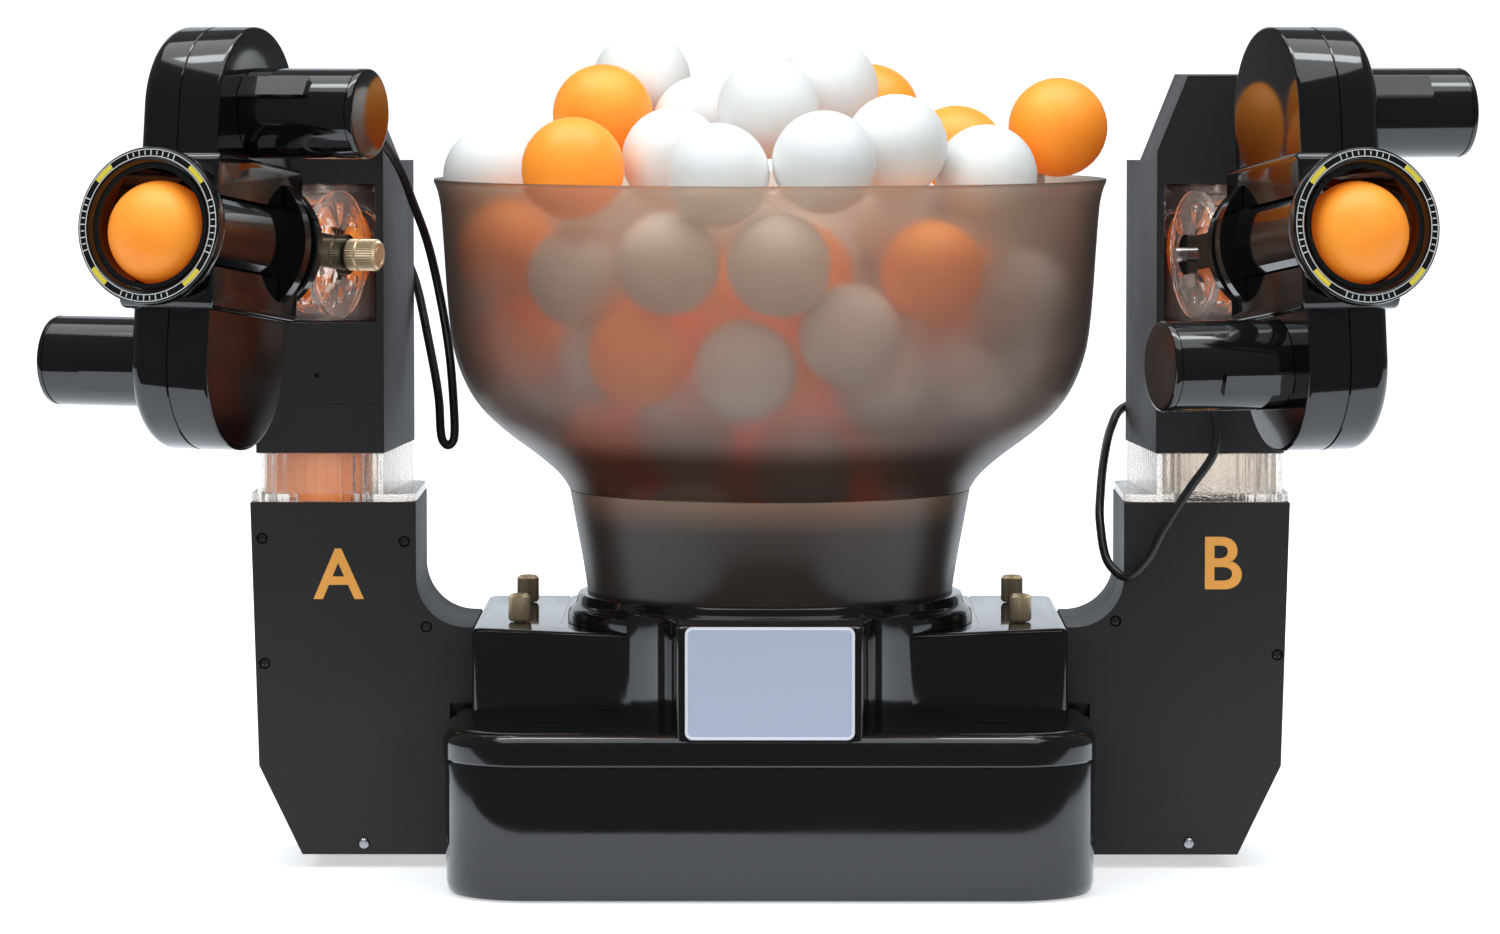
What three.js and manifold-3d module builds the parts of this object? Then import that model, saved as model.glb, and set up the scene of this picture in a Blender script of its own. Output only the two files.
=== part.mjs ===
// A two-headed table tennis robot in millimetres, +Z up, standing on the table plane z = 0.
// The origin lies on the table under the bowl's axis, and the heads throw towards -Y.
// Arm A stands at -X and arm B at +X. The arms mirror each other and the heads are alike.
import * as THREE from "three";
import { mergeVertices } from "three/addons/utils/BufferGeometryUtils.js";
import Module from "manifold-3d";

const wasm = await Module();
wasm.setup();
const degree = Math.PI / 180;

// Sizes that several pieces share
const fit = { gap: 0.3, running: 0.4, overrun: 2, weld: 0.0005 };
const facets = { bowl: 36, round: 20, bore: 14, small: 8, arc: 3, ball: 10, corner: 6, edge: 3 };
const ball = { diameter: 40, clearance: 0.4 };
const bore = { radius: ball.diameter / 2 + ball.clearance, wall: 1.4 };
bore.outer = bore.radius + bore.wall;

// The bowl sets how far out the arms stand, and the arms set the width of the base
const bowl = { wall: 3, rim: 134, rimHeight: 275, seam: 151, lip: 2.5 };
const arm = { reach: 45, ballY: 10, front: -15, back: 65, split: 25, wall: 2.4, ductZ: 70 };
arm.x = bowl.rim + arm.reach;

// The base: a tray with a cover that carries the bowl
const tray = { inset: 52, halfDepth: 117, corner: 34, wall: 3, floor: 3, parting: 52, top: 65, edge: 6 };
tray.halfWidth = arm.x - tray.inset;
const body = { ledge: 9, back: 110, side: -36, top: 98, deck: 3, wall: 3, edge: 2.4 };
body.halfWidth = tray.halfWidth - body.ledge;
const nose = { halfWidth: 36, front: -116, waist: -94, top: 107, rootBack: -63, flare: 4 };
nose.shoulderShare = 0.5593;
nose.shoulderStep = 6;
nose.bendStep = 7;
nose.shoulder = [body.halfWidth * nose.shoulderShare, nose.rootBack + nose.shoulderStep];
nose.bend = [nose.halfWidth + nose.flare, nose.rootBack - nose.bendStep];
const panel = { halfWidth: 32.5, thickness: 1.6, bottom: 63, top: 106.4, corner: 3 };
const slot = { inset: 31, y: -76, halfLength: 6, halfWidth: 1.5, depth: 1.2 };
slot.x = body.halfWidth - slot.inset;
const strip = { halfWidth: 6, depth: 1.4, inset: 20 };
const screw = { frontY: -8, backY: 77, radius: 4.5, height: 11, stud: 2, studLength: 5, flats: 12 };
const inlet = { radius: 6, depth: 12, hole: 2.8, x: 60, z: 40, lip: 2, lipRadius: 8, holeDepth: 9 };

// The bowl's neck, the ring that it stands in and the screws beside the ring
const neck = { topRadius: 80, bottomRadius: 72.5, wall: 3 };
const seat = { inner: neck.bottomRadius + fit.gap, outer: 81, crest: 77, top: 110, shoulder: 103 };
screw.placeShare = 0.5135;
screw.x = seat.outer + screw.placeShare * (body.halfWidth - seat.outer);

// The feed: a pocketed disc on a geared shaft, and the motor beside the shaft
const disc = { radius: 62, pockets: 6, pocketCircle: 45, pocketRadius: 21, thickness: 20, cone: 12, tip: 9 };
const gear = { module: 1.5, teeth: 28, pinionTeeth: 12, width: 8, pinionWidth: 10, bottom: 80 };
const tooth = { tipShare: 0.24, rootShare: 0.56, addendumShare: 0.7, dedendumShare: 1.2 };
const shaft = { radius: 4, bearing: 9, bearingHeight: 9 };
const motor = { radius: 18.5, bottom: 9, top: 68, shaft: 3, stand: 22 };
gear.radius = (gear.module * gear.teeth) / 2;
gear.pinionRadius = (gear.module * gear.pinionTeeth) / 2;
motor.y = gear.radius + gear.pinionRadius;

// Where the ball pockets' circle crosses the line of the two ducts
const outletX = Math.sqrt(disc.pocketCircle ** 2 - arm.ballY ** 2);

// An arm, written for +X: casing, clear block and column. Their widths count from the ball tube.
const casing = { inward: 38, heelOut: 8, lowOut: 25, topOut: 28, bottom: 5, crease: 41, top: 146.3, lean: 2.1 };
casing.inner = arm.x - casing.inward;
casing.heel = arm.x + casing.heelOut;
casing.outerLow = arm.x + casing.lowOut;
casing.outerTop = arm.x + casing.topOut;
const branch = { top: 96.5, root: body.halfWidth + fit.gap, fillet: 20, step: tray.top + 1 };
const block = { bottom: casing.top + fit.gap, flange: 3, top: 165.8, wall: 2.5, inset: 0.6, corner: 9, rib: 1.6 };
const column = { halfWidth: 25.5, backInward: 33, cap: 43, wall: 2.9, lid: 50 };
column.inner = arm.x - column.halfWidth;
column.innerBack = arm.x - column.backInward;
column.outer = arm.x + column.halfWidth;
column.bottom = block.top + fit.gap;
const chamfer = { width: 12, height: 35 };
const sweepZ = 245.5;
const elbow = { radius: 22, height: 53.6, plate: 2.6, plateRadius: 22.3, spout: 42, cheekRadius: 25.2 };
const recess = { back: 40, halfWidth: 22.6, plate: 3, window: 20, clearance: 0.7 };
recess.bottom = sweepZ - elbow.height / 2 - recess.clearance;
recess.top = sweepZ + elbow.height / 2 + recess.clearance;
column.top = recess.top + column.cap;

// A head, written along -Y from the sweep axis
const tilt = { y: -30, pin: 2.6, cheek: 3, cheekRadius: 8, armHalf: 6.5 };
const collar = { flange: 27, thickness: 2.5, sleeve: 26.5, sleeveLength: 2.7, lip: 1.5 };
collar.back = tilt.y - elbow.cheekRadius - fit.gap;
collar.front = collar.back - collar.thickness;
collar.sleeveFront = collar.front - collar.sleeveLength;
const barrel = { radius: 24, wall: 2, mouth: -149.6 };
const guard = { radius: 30.5, back: -73.5, front: -78.5, clearance: 0.3 };
const ring = { radius: 30, inner: 25.5, face: -152, shoulder: -146, sleeve: 27, back: -141 };
const wheel = { radius: 29, halfWidth: 10, y: -98, z: 48.5, web: 3, rimDepth: 6, shaft: 2.5 };
const housing = { radius: 33.5, halfWidth: 17, cavity: 31, cavityHalf: 12.5, root: 14 };
const saddle = { halfLength: 37, halfWidth: 20, top: 30, round: 4 };
const lug = { radius: 6.5, hole: 2.2, y: -60, z: 36, halfWidth: 3.5 };
const can = { radius: 17.5, length: 48, step: 2, stepLength: 28, stepHalf: 5, stepTurn: 62, bevel: 1.5 };
const nut = { radius: 6.25, length: 13.5, knurls: 16, nose: 1.5 };
const heads = [
  { side: "a", sign: -1, yaw: -22, pitch: 7 },
  { side: "b", sign: 1, yaw: 18, pitch: 7 },
];
const cord = { radius: 1.8, sides: 8, stepShare: 5 };

const finishes = {
  gloss: { color: 0x0c0c0e, roughness: 0.15, metalness: 0 },
  satin: { color: 0x1b1c1e, roughness: 0.5, metalness: 0 },
  clear: { color: 0xdcdcd8, roughness: 0.1, metalness: 0, transparent: true, opacity: 0.45 },
  smoke: { color: 0x4a4340, roughness: 0.35, metalness: 0, transparent: true, opacity: 0.6 },
  plate: { color: 0xb9c0d4, roughness: 0.35, metalness: 0.2 },
  brass: { color: 0xb59a62, roughness: 0.35, metalness: 1 },
  steel: { color: 0x9a9ca0, roughness: 0.35, metalness: 1 },
  rubber: { color: 0x17171a, roughness: 0.85, metalness: 0 },
  gears: { color: 0xd8d4c8, roughness: 0.5, metalness: 0 },
};
for (const name of Object.keys(finishes)) finishes[name] = new THREE.MeshStandardMaterial(finishes[name]);

// Solids from three.js geometry, and geometry from solids
function solidOf(geometry) {
  const bare = geometry.clone();
  for (const name of Object.keys(bare.attributes)) {
    if (name !== "position") bare.deleteAttribute(name);
  }
  const welded = mergeVertices(bare, fit.weld);
  const vertProperties = welded.attributes.position.array;
  const triVerts = new Uint32Array(welded.index.array);
  return new wasm.Manifold(new wasm.Mesh({ numProp: 3, vertProperties, triVerts }));
}

function join(...solids) {
  return solids.reduce((whole, next) => whole.add(next));
}

function cut(solid, ...tools) {
  return tools.reduce((left, tool) => left.subtract(tool), solid);
}

function piece(name, solid, finish) {
  const held = solid.getMesh();
  const geometry = new THREE.BufferGeometry();
  geometry.setAttribute("position", new THREE.BufferAttribute(new Float32Array(held.vertProperties), 3));
  geometry.setIndex(new THREE.BufferAttribute(held.triVerts, 1));
  geometry.computeVertexNormals();
  const mesh = new THREE.Mesh(geometry, finish);
  mesh.name = name;
  return mesh;
}

// An outline in X and Y raised from low to high
function slab(shape, low, high, arc = facets.arc) {
  const options = { depth: high - low, bevelEnabled: false, curveSegments: arc };
  return solidOf(new THREE.ExtrudeGeometry(shape, options).translate(0, 0, low));
}

// An outline in X and Z that runs from front to back along Y
function across(shape, front, back, arc = facets.arc) {
  const options = { depth: back - front, bevelEnabled: false, curveSegments: arc };
  const geometry = new THREE.ExtrudeGeometry(shape, options).rotateX(Math.PI / 2);
  return solidOf(geometry.translate(0, back, 0));
}

// An outline in Y and Z that runs from left to right along X
function sideways(shape, left, right, arc = facets.arc) {
  const options = { depth: right - left, bevelEnabled: false, curveSegments: arc };
  const turn = new THREE.Matrix4().makeBasis(
    new THREE.Vector3(0, 1, 0),
    new THREE.Vector3(0, 0, 1),
    new THREE.Vector3(1, 0, 0),
  );
  const geometry = new THREE.ExtrudeGeometry(shape, options).applyMatrix4(turn);
  return solidOf(geometry.translate(left, 0, 0));
}

function box(x, y, z) {
  const geometry = new THREE.BoxGeometry(x[1] - x[0], y[1] - y[0], z[1] - z[0]);
  return solidOf(geometry.translate((x[0] + x[1]) / 2, (y[0] + y[1]) / 2, (z[0] + z[1]) / 2));
}

function rod(radius, from, to, sides = facets.bore) {
  const start = new THREE.Vector3(...from);
  const way = new THREE.Vector3(...to).sub(start);
  const geometry = new THREE.CylinderGeometry(radius, radius, way.length(), sides);
  geometry.translate(0, way.length() / 2, 0);
  const up = new THREE.Vector3(0, 1, 0);
  geometry.applyQuaternion(new THREE.Quaternion().setFromUnitVectors(up, way.normalize()));
  return solidOf(geometry.translate(...from));
}

function sphere(radius, centre, sides = facets.ball) {
  return solidOf(new THREE.SphereGeometry(radius, sides, sides / 2).translate(...centre));
}

// A profile of [radius, height] points turned about Z
function turned(profile, sides = facets.round) {
  const points = profile.map(([radius, height]) => new THREE.Vector2(radius, height));
  if (THREE.ShapeUtils.area(points) < 0) points.reverse();
  if (points.some((point) => point.x) && points.every((point) => point.x)) points.push(points[0].clone());
  return solidOf(new THREE.LatheGeometry(points, sides).rotateX(Math.PI / 2));
}

// The same profile turned about Y, with its heights measured along Y
function turnedAlongY(profile, sides) {
  return turned(profile.map(([radius, y]) => [radius, -y]), sides).rotate([90, 0, 0]);
}

// The same profile turned about X, with its heights measured along X
function turnedAlongX(profile, sides) {
  return turned(profile, sides).rotate([0, 90, 0]);
}

function outline(points) {
  return new THREE.Shape(points.map(([x, y]) => new THREE.Vector2(x, y)));
}

function roundedRect(x, y, radius) {
  const shape = new THREE.Shape();
  shape.absarc(x[1] - radius, y[0] + radius, radius, -Math.PI / 2, 0);
  shape.absarc(x[1] - radius, y[1] - radius, radius, 0, Math.PI / 2);
  shape.absarc(x[0] + radius, y[1] - radius, radius, Math.PI / 2, Math.PI);
  shape.absarc(x[0] + radius, y[0] + radius, radius, Math.PI, 1.5 * Math.PI);
  return shape;
}

function roundedTop(x, y, radius, low, high, edge) {
  const options = {
    depth: high - low - 2 * edge,
    bevelThickness: edge,
    bevelSize: edge,
    bevelOffset: -edge,
    bevelSegments: facets.edge,
    curveSegments: facets.corner,
  };
  const shape = roundedRect(x, y, radius);
  return solidOf(new THREE.ExtrudeGeometry(shape, options).translate(0, 0, low + edge));
}

// Ball way: a level duct from the disc's outlet and an upright tube at the arm
function ductWay(sign, radius) {
  const outlet = [sign * outletX, arm.ballY, arm.ductZ];
  const foot = [sign * arm.x, arm.ballY, arm.ductZ];
  return [outlet, foot, rod(radius, outlet, foot, facets.ball)];
}

function baseTray() {
  const x = [-tray.halfWidth, tray.halfWidth];
  const y = [-tray.halfDepth, tray.halfDepth];
  const outer = slab(roundedRect(x, y, tray.corner), 0, tray.parting, facets.corner);
  const innerX = [x[0] + tray.wall, x[1] - tray.wall];
  const innerY = [y[0] + tray.wall, y[1] - tray.wall];
  const inner = roundedRect(innerX, innerY, tray.corner - tray.wall);
  const hollow = slab(inner, tray.floor, tray.parting + fit.overrun, facets.corner);
  const stand = rod(motor.stand, [0, motor.y, 0], [0, motor.y, motor.bottom - fit.gap]);
  const ducts = [-1, 1].map((sign) => ductWay(sign, bore.outer + fit.gap)[2]);
  const pockets = [-1, 1].map((sign) => {
    return slab(stripShape(sign, fit.gap), -fit.overrun, strip.depth + fit.gap);
  });
  const port = rod(inlet.radius + fit.gap, inletEnd(inlet.depth), inletEnd(-fit.overrun), facets.small);
  const shell = join(cut(outer, hollow), stand);
  return piece("base_tray", cut(shell, ...ducts, ...pockets, port), finishes.gloss);
}

// The two rubber strips lie in pockets under the tray's sides
function stripShape(sign, clearance) {
  const at = sign * (tray.halfWidth - strip.inset);
  const half = strip.halfWidth + clearance;
  const y = tray.halfDepth - tray.corner + clearance;
  return roundedRect([at - half, at + half], [-y, y], half - fit.gap);
}

function rubberStrips() {
  return heads.map(({ sign, side }) => {
    return piece(`rubber_strip_${side}`, slab(stripShape(sign, 0), 0, strip.depth), finishes.rubber);
  });
}

function bodyShape(inset) {
  const half = body.halfWidth - inset;
  const side = body.side + inset;
  const shoulder = [nose.shoulder[0], nose.shoulder[1] + inset];
  const bend = [nose.bend[0] - inset, nose.bend[1] + inset];
  const cheek = nose.halfWidth - inset;
  const shape = new THREE.Shape();
  shape.moveTo(half, body.back - inset);
  shape.lineTo(-half, body.back - inset);
  shape.lineTo(-half, side);
  shape.lineTo(-shoulder[0], shoulder[1]);
  shape.quadraticCurveTo(-bend[0], bend[1], -cheek, nose.waist);
  shape.lineTo(-cheek, nose.front + inset);
  shape.lineTo(cheek, nose.front + inset);
  shape.lineTo(cheek, nose.waist);
  shape.quadraticCurveTo(...bend, ...shoulder);
  shape.lineTo(half, side);
  return shape;
}

// The body's outline raised from low to high, with a rounded top edge
function bodyBlock(low, high) {
  const options = {
    depth: high - low - 2 * body.edge,
    bevelThickness: body.edge,
    bevelSize: body.edge,
    bevelOffset: -body.edge,
    bevelSegments: facets.edge,
    curveSegments: facets.bore / 2,
  };
  return solidOf(new THREE.ExtrudeGeometry(bodyShape(0), options).translate(0, 0, low + body.edge));
}

function coverSlots() {
  return [-1, 1].map((sign) => {
    const x = [sign * slot.x - slot.halfLength, sign * slot.x + slot.halfLength];
    const y = [slot.y - slot.halfWidth, slot.y + slot.halfWidth];
    return box(x, y, [tray.top - slot.depth, tray.top + fit.overrun]);
  });
}

function baseCover() {
  const x = [-tray.halfWidth, tray.halfWidth];
  const y = [-tray.halfDepth, tray.halfDepth];
  const low = tray.parting + fit.gap;
  const band = roundedTop(x, y, tray.corner, low - tray.edge, tray.top, tray.edge);
  const upper = bodyBlock(low, body.top);
  const wide = [-body.halfWidth, body.halfWidth];
  const behind = box(wide, [nose.rootBack, body.back], [low, nose.top + fit.overrun]);
  const brow = cut(bodyBlock(low, nose.top), behind);
  const innerX = [x[0] + tray.wall, x[1] - tray.wall];
  const innerY = [y[0] + tray.wall, y[1] - tray.wall];
  const inner = roundedRect(innerX, innerY, tray.corner - tray.wall);
  const trim = box([x[0], x[1]], [y[0], y[1]], [low - tray.edge - fit.overrun, low]);
  const ducts = [-1, 1].map((sign) => ductWay(sign, bore.outer + fit.gap)[2]);
  const outlets = [-1, 1].map((sign) => {
    const at = [sign * outletX, arm.ballY];
    return rod(bore.radius, [...at, body.top - body.deck - fit.overrun], [...at, body.top + fit.overrun]);
  });
  const threads = screwPlaces().map(([sx, sy]) => {
    const low = body.top - screw.studLength - fit.overrun;
    return rod(screw.stud + fit.gap, [sx, sy, low], [sx, sy, body.top + fit.overrun], facets.small);
  });
  const shell = cut(
    join(band, upper, brow),
    trim,
    slab(inner, low - fit.overrun, tray.top - tray.wall, facets.corner),
    slab(bodyShape(body.wall), low - fit.overrun, body.top - body.deck, facets.bore / 2),
    rod(seat.outer + fit.gap, [0, 0, body.top], [0, 0, nose.top + fit.overrun], facets.bowl),
  );
  const bearing = rod(shaft.bearing, [0, 0, body.top - shaft.bearingHeight], [0, 0, body.top]);
  const axle = rod(shaft.radius + fit.gap, [0, 0, low], [0, 0, body.top + fit.overrun], facets.round);
  const whole = cut(join(shell, bearing), axle, ...ducts, ...outlets, ...threads, ...coverSlots());
  return piece("base_cover", whole, finishes.gloss);
}

function controlPanel() {
  const shape = roundedRect([-panel.halfWidth, panel.halfWidth], [panel.bottom, panel.top], panel.corner);
  const back = nose.front - fit.gap;
  return piece("control_panel", across(shape, back - panel.thickness, back), finishes.plate);
}

function screwPlaces() {
  return [screw.frontY, screw.backY].flatMap((y) => [[-screw.x, y], [screw.x, y]]);
}

function thumbScrews() {
  const names = ["front_a", "front_b", "back_a", "back_b"];
  return screwPlaces().map(([x, y], i) => {
    const low = body.top + fit.gap;
    const knob = rod(screw.radius, [x, y, low], [x, y, low + screw.height], screw.flats);
    const foot = [x, y, body.top - screw.studLength];
    const stud = rod(screw.stud, foot, [x, y, low + screw.radius], facets.small);
    return piece(`thumb_screw_${names[i]}`, join(knob, stud), finishes.brass);
  });
}

function inletEnd(depth) {
  return [inlet.x, tray.halfDepth - depth, inlet.z];
}

function powerInlet() {
  const barrelSolid = rod(inlet.radius, inletEnd(inlet.depth), inletEnd(-inlet.lip), facets.small);
  const lip = rod(inlet.lipRadius, inletEnd(-fit.gap), inletEnd(-inlet.lip), facets.small);
  const hole = rod(inlet.hole, inletEnd(inlet.holeDepth), inletEnd(-inlet.lip - fit.overrun), facets.small);
  return piece("power_inlet", cut(join(barrelSolid, lip), hole), finishes.gloss);
}

// The bowl's outside: how far it is from the neck's radius to the rim's, and from the seam to the rim
const bowlShares = [
  [0, 0.0024], [0.0645, 0.048], [0.2332, 0.113], [0.4813, 0.19],
  [0.6848, 0.274], [0.8139, 0.379], [0.8883, 0.508], [0.9454, 0.895],
];

function bowlProfile() {
  const [wide, high] = [bowl.rim - neck.topRadius, bowl.rimHeight - bowl.seam];
  return bowlShares.map(([out, up]) => [neck.topRadius + out * wide, bowl.seam + up * high]);
}

function feedBowl() {
  const outside = bowlProfile();
  const last = outside.length - 1;
  const inside = outside.map(([radius, z], i) => {
    return [radius - bowl.wall, i ? z + bowl.wall * (1 - i / last) : z];
  });
  const rim = [[bowl.rim, bowl.rimHeight - bowl.lip], [bowl.rim, bowl.rimHeight]];
  const inner = [[bowl.rim - bowl.wall, bowl.rimHeight]];
  const profile = [...outside, ...rim, ...inner, ...inside.reverse()];
  return piece("bowl", turned(profile, facets.bowl), finishes.smoke);
}

function bowlNeck() {
  const low = body.top + fit.gap;
  const top = bowl.seam;
  const profile = [
    [neck.bottomRadius, low],
    [neck.bottomRadius, seat.top],
    [neck.topRadius, top],
    [neck.topRadius - neck.wall, top],
    [neck.bottomRadius - neck.wall, seat.top],
    [neck.bottomRadius - neck.wall, low],
  ];
  return piece("bowl_neck", turned(profile, facets.bowl), finishes.smoke);
}

function seatRing() {
  const low = body.top + fit.gap;
  const profile = [
    [seat.inner, low],
    [seat.outer, low],
    [seat.outer, seat.shoulder],
    [(seat.outer + seat.crest) / 2, (seat.shoulder + 2 * seat.top) / 3],
    [seat.crest, seat.top],
    [seat.inner, seat.top],
  ];
  return piece("seat_ring", turned(profile, facets.bowl), finishes.gloss);
}

function feedDisc() {
  const low = body.top + 2 * fit.gap;
  const plate = rod(disc.radius, [0, 0, low], [0, 0, low + disc.thickness], facets.bowl);
  const top = low + disc.thickness;
  const cone = turned([
    [0, top - fit.overrun],
    [disc.pocketCircle / 2, top - fit.overrun],
    [disc.tip, top + disc.cone],
    [0, top + disc.cone],
  ]);
  const pockets = Array.from({ length: disc.pockets }, (_, i) => {
    const angle = (i * 2 * Math.PI) / disc.pockets;
    const at = [disc.pocketCircle * Math.cos(angle), disc.pocketCircle * Math.sin(angle)];
    return rod(disc.pocketRadius, [...at, low - fit.overrun], [...at, top + disc.cone + fit.overrun]);
  });
  return piece("feed_disc", cut(join(plate, cone), ...pockets), finishes.satin);
}

// A spur gear's outline with straight flanks, one tooth centred on the angle given
function gearShape(teeth, radius, phase) {
  const pitch = (2 * Math.PI) / teeth;
  const tip = radius + gear.module * tooth.addendumShare;
  const root = radius - gear.module * tooth.dedendumShare;
  const flanks = [
    [-tooth.rootShare, root],
    [-tooth.tipShare, tip],
    [tooth.tipShare, tip],
    [tooth.rootShare, root],
  ];
  const points = [];
  for (let i = 0; i < teeth; i++) {
    const centre = phase + i * pitch;
    for (const [share, reach] of flanks) {
      const angle = centre + (share * pitch) / 2;
      points.push([reach * Math.cos(angle), reach * Math.sin(angle)]);
    }
  }
  return outline(points);
}

function feedGear() {
  const shape = gearShape(gear.teeth, gear.radius, Math.PI / 2);
  const wheelSolid = slab(shape, gear.bottom, gear.bottom + gear.width);
  const foot = [0, 0, gear.bottom - fit.overrun];
  const axle = rod(shaft.radius, foot, [0, 0, body.top + fit.gap], facets.round);
  return piece("feed_gear", join(wheelSolid, axle), finishes.gears);
}

function feedPinion() {
  const half = Math.PI / gear.pinionTeeth;
  const shape = gearShape(gear.pinionTeeth, gear.pinionRadius, -Math.PI / 2 + half);
  const low = gear.bottom - (gear.pinionWidth - gear.width) / 2;
  const teeth = slab(shape, low, low + gear.pinionWidth);
  const axle = rod(motor.shaft, [0, 0, motor.top + fit.gap], [0, 0, low + gear.pinionWidth], facets.small);
  return piece("feed_pinion", join(teeth, axle).translate([0, motor.y, 0]), finishes.steel);
}

function feedMotor() {
  const at = [0, motor.y];
  return piece("feed_motor", rod(motor.radius, [...at, motor.bottom], [...at, motor.top]), finishes.steel);
}

function baseDuct(head) {
  const [outlet, , outside] = ductWay(head.sign, bore.outer);
  const inside = ductWay(head.sign, bore.radius)[2];
  const top = body.top - body.deck - fit.gap;
  const rise = [outlet[0], outlet[1], top];
  const shell = join(outside, sphere(bore.outer, outlet), rod(bore.outer, outlet, rise, facets.ball));
  const over = [outlet[0], outlet[1], top + fit.overrun];
  const hollow = join(inside, sphere(bore.radius, outlet), rod(bore.radius, outlet, over, facets.ball));
  const reach = [tray.halfWidth, arm.x + bore.outer + fit.overrun];
  const x = head.sign > 0 ? reach : [-reach[1], -reach[0]];
  const span = bore.outer + fit.overrun;
  const far = box(x, [-span, arm.ballY + span], [arm.ductZ - span, arm.ductZ + span]);
  return piece(`base_duct_${head.side}`, cut(shell, hollow, far), finishes.satin);
}

// The arm's pieces, drawn for +X and mirrored for arm A
function casingShape(inset) {
  const shape = new THREE.Shape();
  const inner = casing.inner + inset;
  const top = branch.top - inset;
  const low = casing.bottom + inset;
  shape.moveTo(tray.halfWidth + 2 * fit.gap + inset, low);
  shape.lineTo(casing.heel - inset / 2, low);
  shape.lineTo(casing.outerLow - inset, casing.crease);
  shape.lineTo(casing.outerTop - inset, casing.top - inset);
  shape.lineTo(inner, casing.top - inset);
  shape.lineTo(inner, top + branch.fillet);
  shape.absarc(inner - branch.fillet, top + branch.fillet, branch.fillet, 0, -Math.PI / 2, true);
  shape.lineTo(branch.root + inset, top);
  shape.lineTo(branch.root + inset, branch.step + inset);
  shape.lineTo(tray.halfWidth + 2 * fit.gap + inset, branch.step + inset);
  return shape;
}

function casingHalf(front) {
  const y = front ? [arm.front, arm.split - fit.gap / 2] : [arm.split + fit.gap / 2, arm.back];
  const inner = front ? [y[0] + arm.wall, y[1] + fit.overrun] : [y[0] - fit.overrun, y[1] - arm.wall];
  const [outlet, , duct] = ductWay(1, bore.outer + fit.gap);
  const head = [arm.x, arm.ballY];
  const over = [...head, casing.top + fit.overrun];
  const rise = rod(bore.outer + fit.gap, [...head, outlet[2]], over, facets.ball);
  const solid = cut(across(casingShape(0), ...y), across(casingShape(arm.wall), ...inner), duct, rise);
  return front ? cut(solid, frontSlope()) : solid;
}

// Below the crease the front face leans back
function frontSlope() {
  const shape = outline([
    [arm.front - fit.overrun, casing.crease],
    [arm.front, casing.crease],
    [arm.front + casing.lean, casing.bottom - fit.gap],
    [arm.front - fit.overrun, casing.bottom - fit.gap],
  ]);
  return sideways(shape, tray.halfWidth, casing.outerTop);
}

function armTube() {
  const [, foot, outside] = ductWay(1, bore.outer);
  const inside = ductWay(1, bore.radius)[2];
  const top = casing.top;
  const rise = [foot[0], foot[1], top];
  const shell = join(outside, sphere(bore.outer, foot), rod(bore.outer, foot, rise, facets.ball));
  const over = [foot[0], foot[1], top + fit.overrun];
  const hollow = join(inside, sphere(bore.radius, foot), rod(bore.radius, foot, over, facets.ball));
  const span = bore.outer + fit.overrun;
  const deep = [-span, arm.ballY + span];
  const near = box([0, tray.halfWidth + fit.gap], deep, [arm.ductZ - span, arm.ductZ + span]);
  return cut(shell, hollow, near);
}

// The column's plan: its inner side runs out towards the back
function columnShape(inset, y) {
  const lean = (column.innerBack - column.inner) / (arm.back - arm.front);
  const innerAt = (at) => column.inner + lean * (at - arm.front) + inset;
  return outline([
    [innerAt(y[0]), y[0]],
    [column.outer - inset, y[0]],
    [column.outer - inset, y[1]],
    [innerAt(y[1]), y[1]],
  ]);
}

function clearBlock() {
  const flange = roundedRect([casing.inner, casing.outerTop], [arm.front, arm.back], block.corner);
  const low = block.bottom;
  const rise = low + block.flange;
  const y = [arm.front + block.inset, arm.back - block.inset];
  const innerY = [y[0] + block.wall, y[1] - block.wall];
  const wall = cut(
    slab(columnShape(block.inset, y), low, block.top),
    slab(columnShape(block.inset + block.wall, innerY), low - fit.overrun, block.top + fit.overrun),
  );
  const base = slab(flange, low, rise);
  const tubeWall = rod(bore.outer, [arm.x, arm.ballY, low], [arm.x, arm.ballY, block.top]);
  const tall = [low, block.top];
  const backRib = box([arm.x - block.rib / 2, arm.x + block.rib / 2], [arm.ballY, innerY[1]], tall);
  const sideRib = box([column.inner, column.outer - block.wall], [arm.split, arm.split + block.rib], tall);
  const way = [arm.x, arm.ballY];
  const hollow = rod(bore.radius, [...way, low - fit.overrun], [...way, block.top + fit.overrun]);
  return cut(join(base, wall, tubeWall, backRib, sideRib), hollow);
}

// The upper inner corner of the column falls away
function columnChamfer() {
  const x = column.innerBack - fit.overrun;
  const top = column.top + fit.overrun;
  const shape = outline([
    [x, column.top - chamfer.height],
    [column.inner - fit.overrun, column.top - chamfer.height],
    [column.inner + chamfer.width, column.top],
    [column.inner + chamfer.width, top],
    [x, top],
  ]);
  return across(shape, arm.front - fit.overrun, arm.back + fit.overrun);
}

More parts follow.
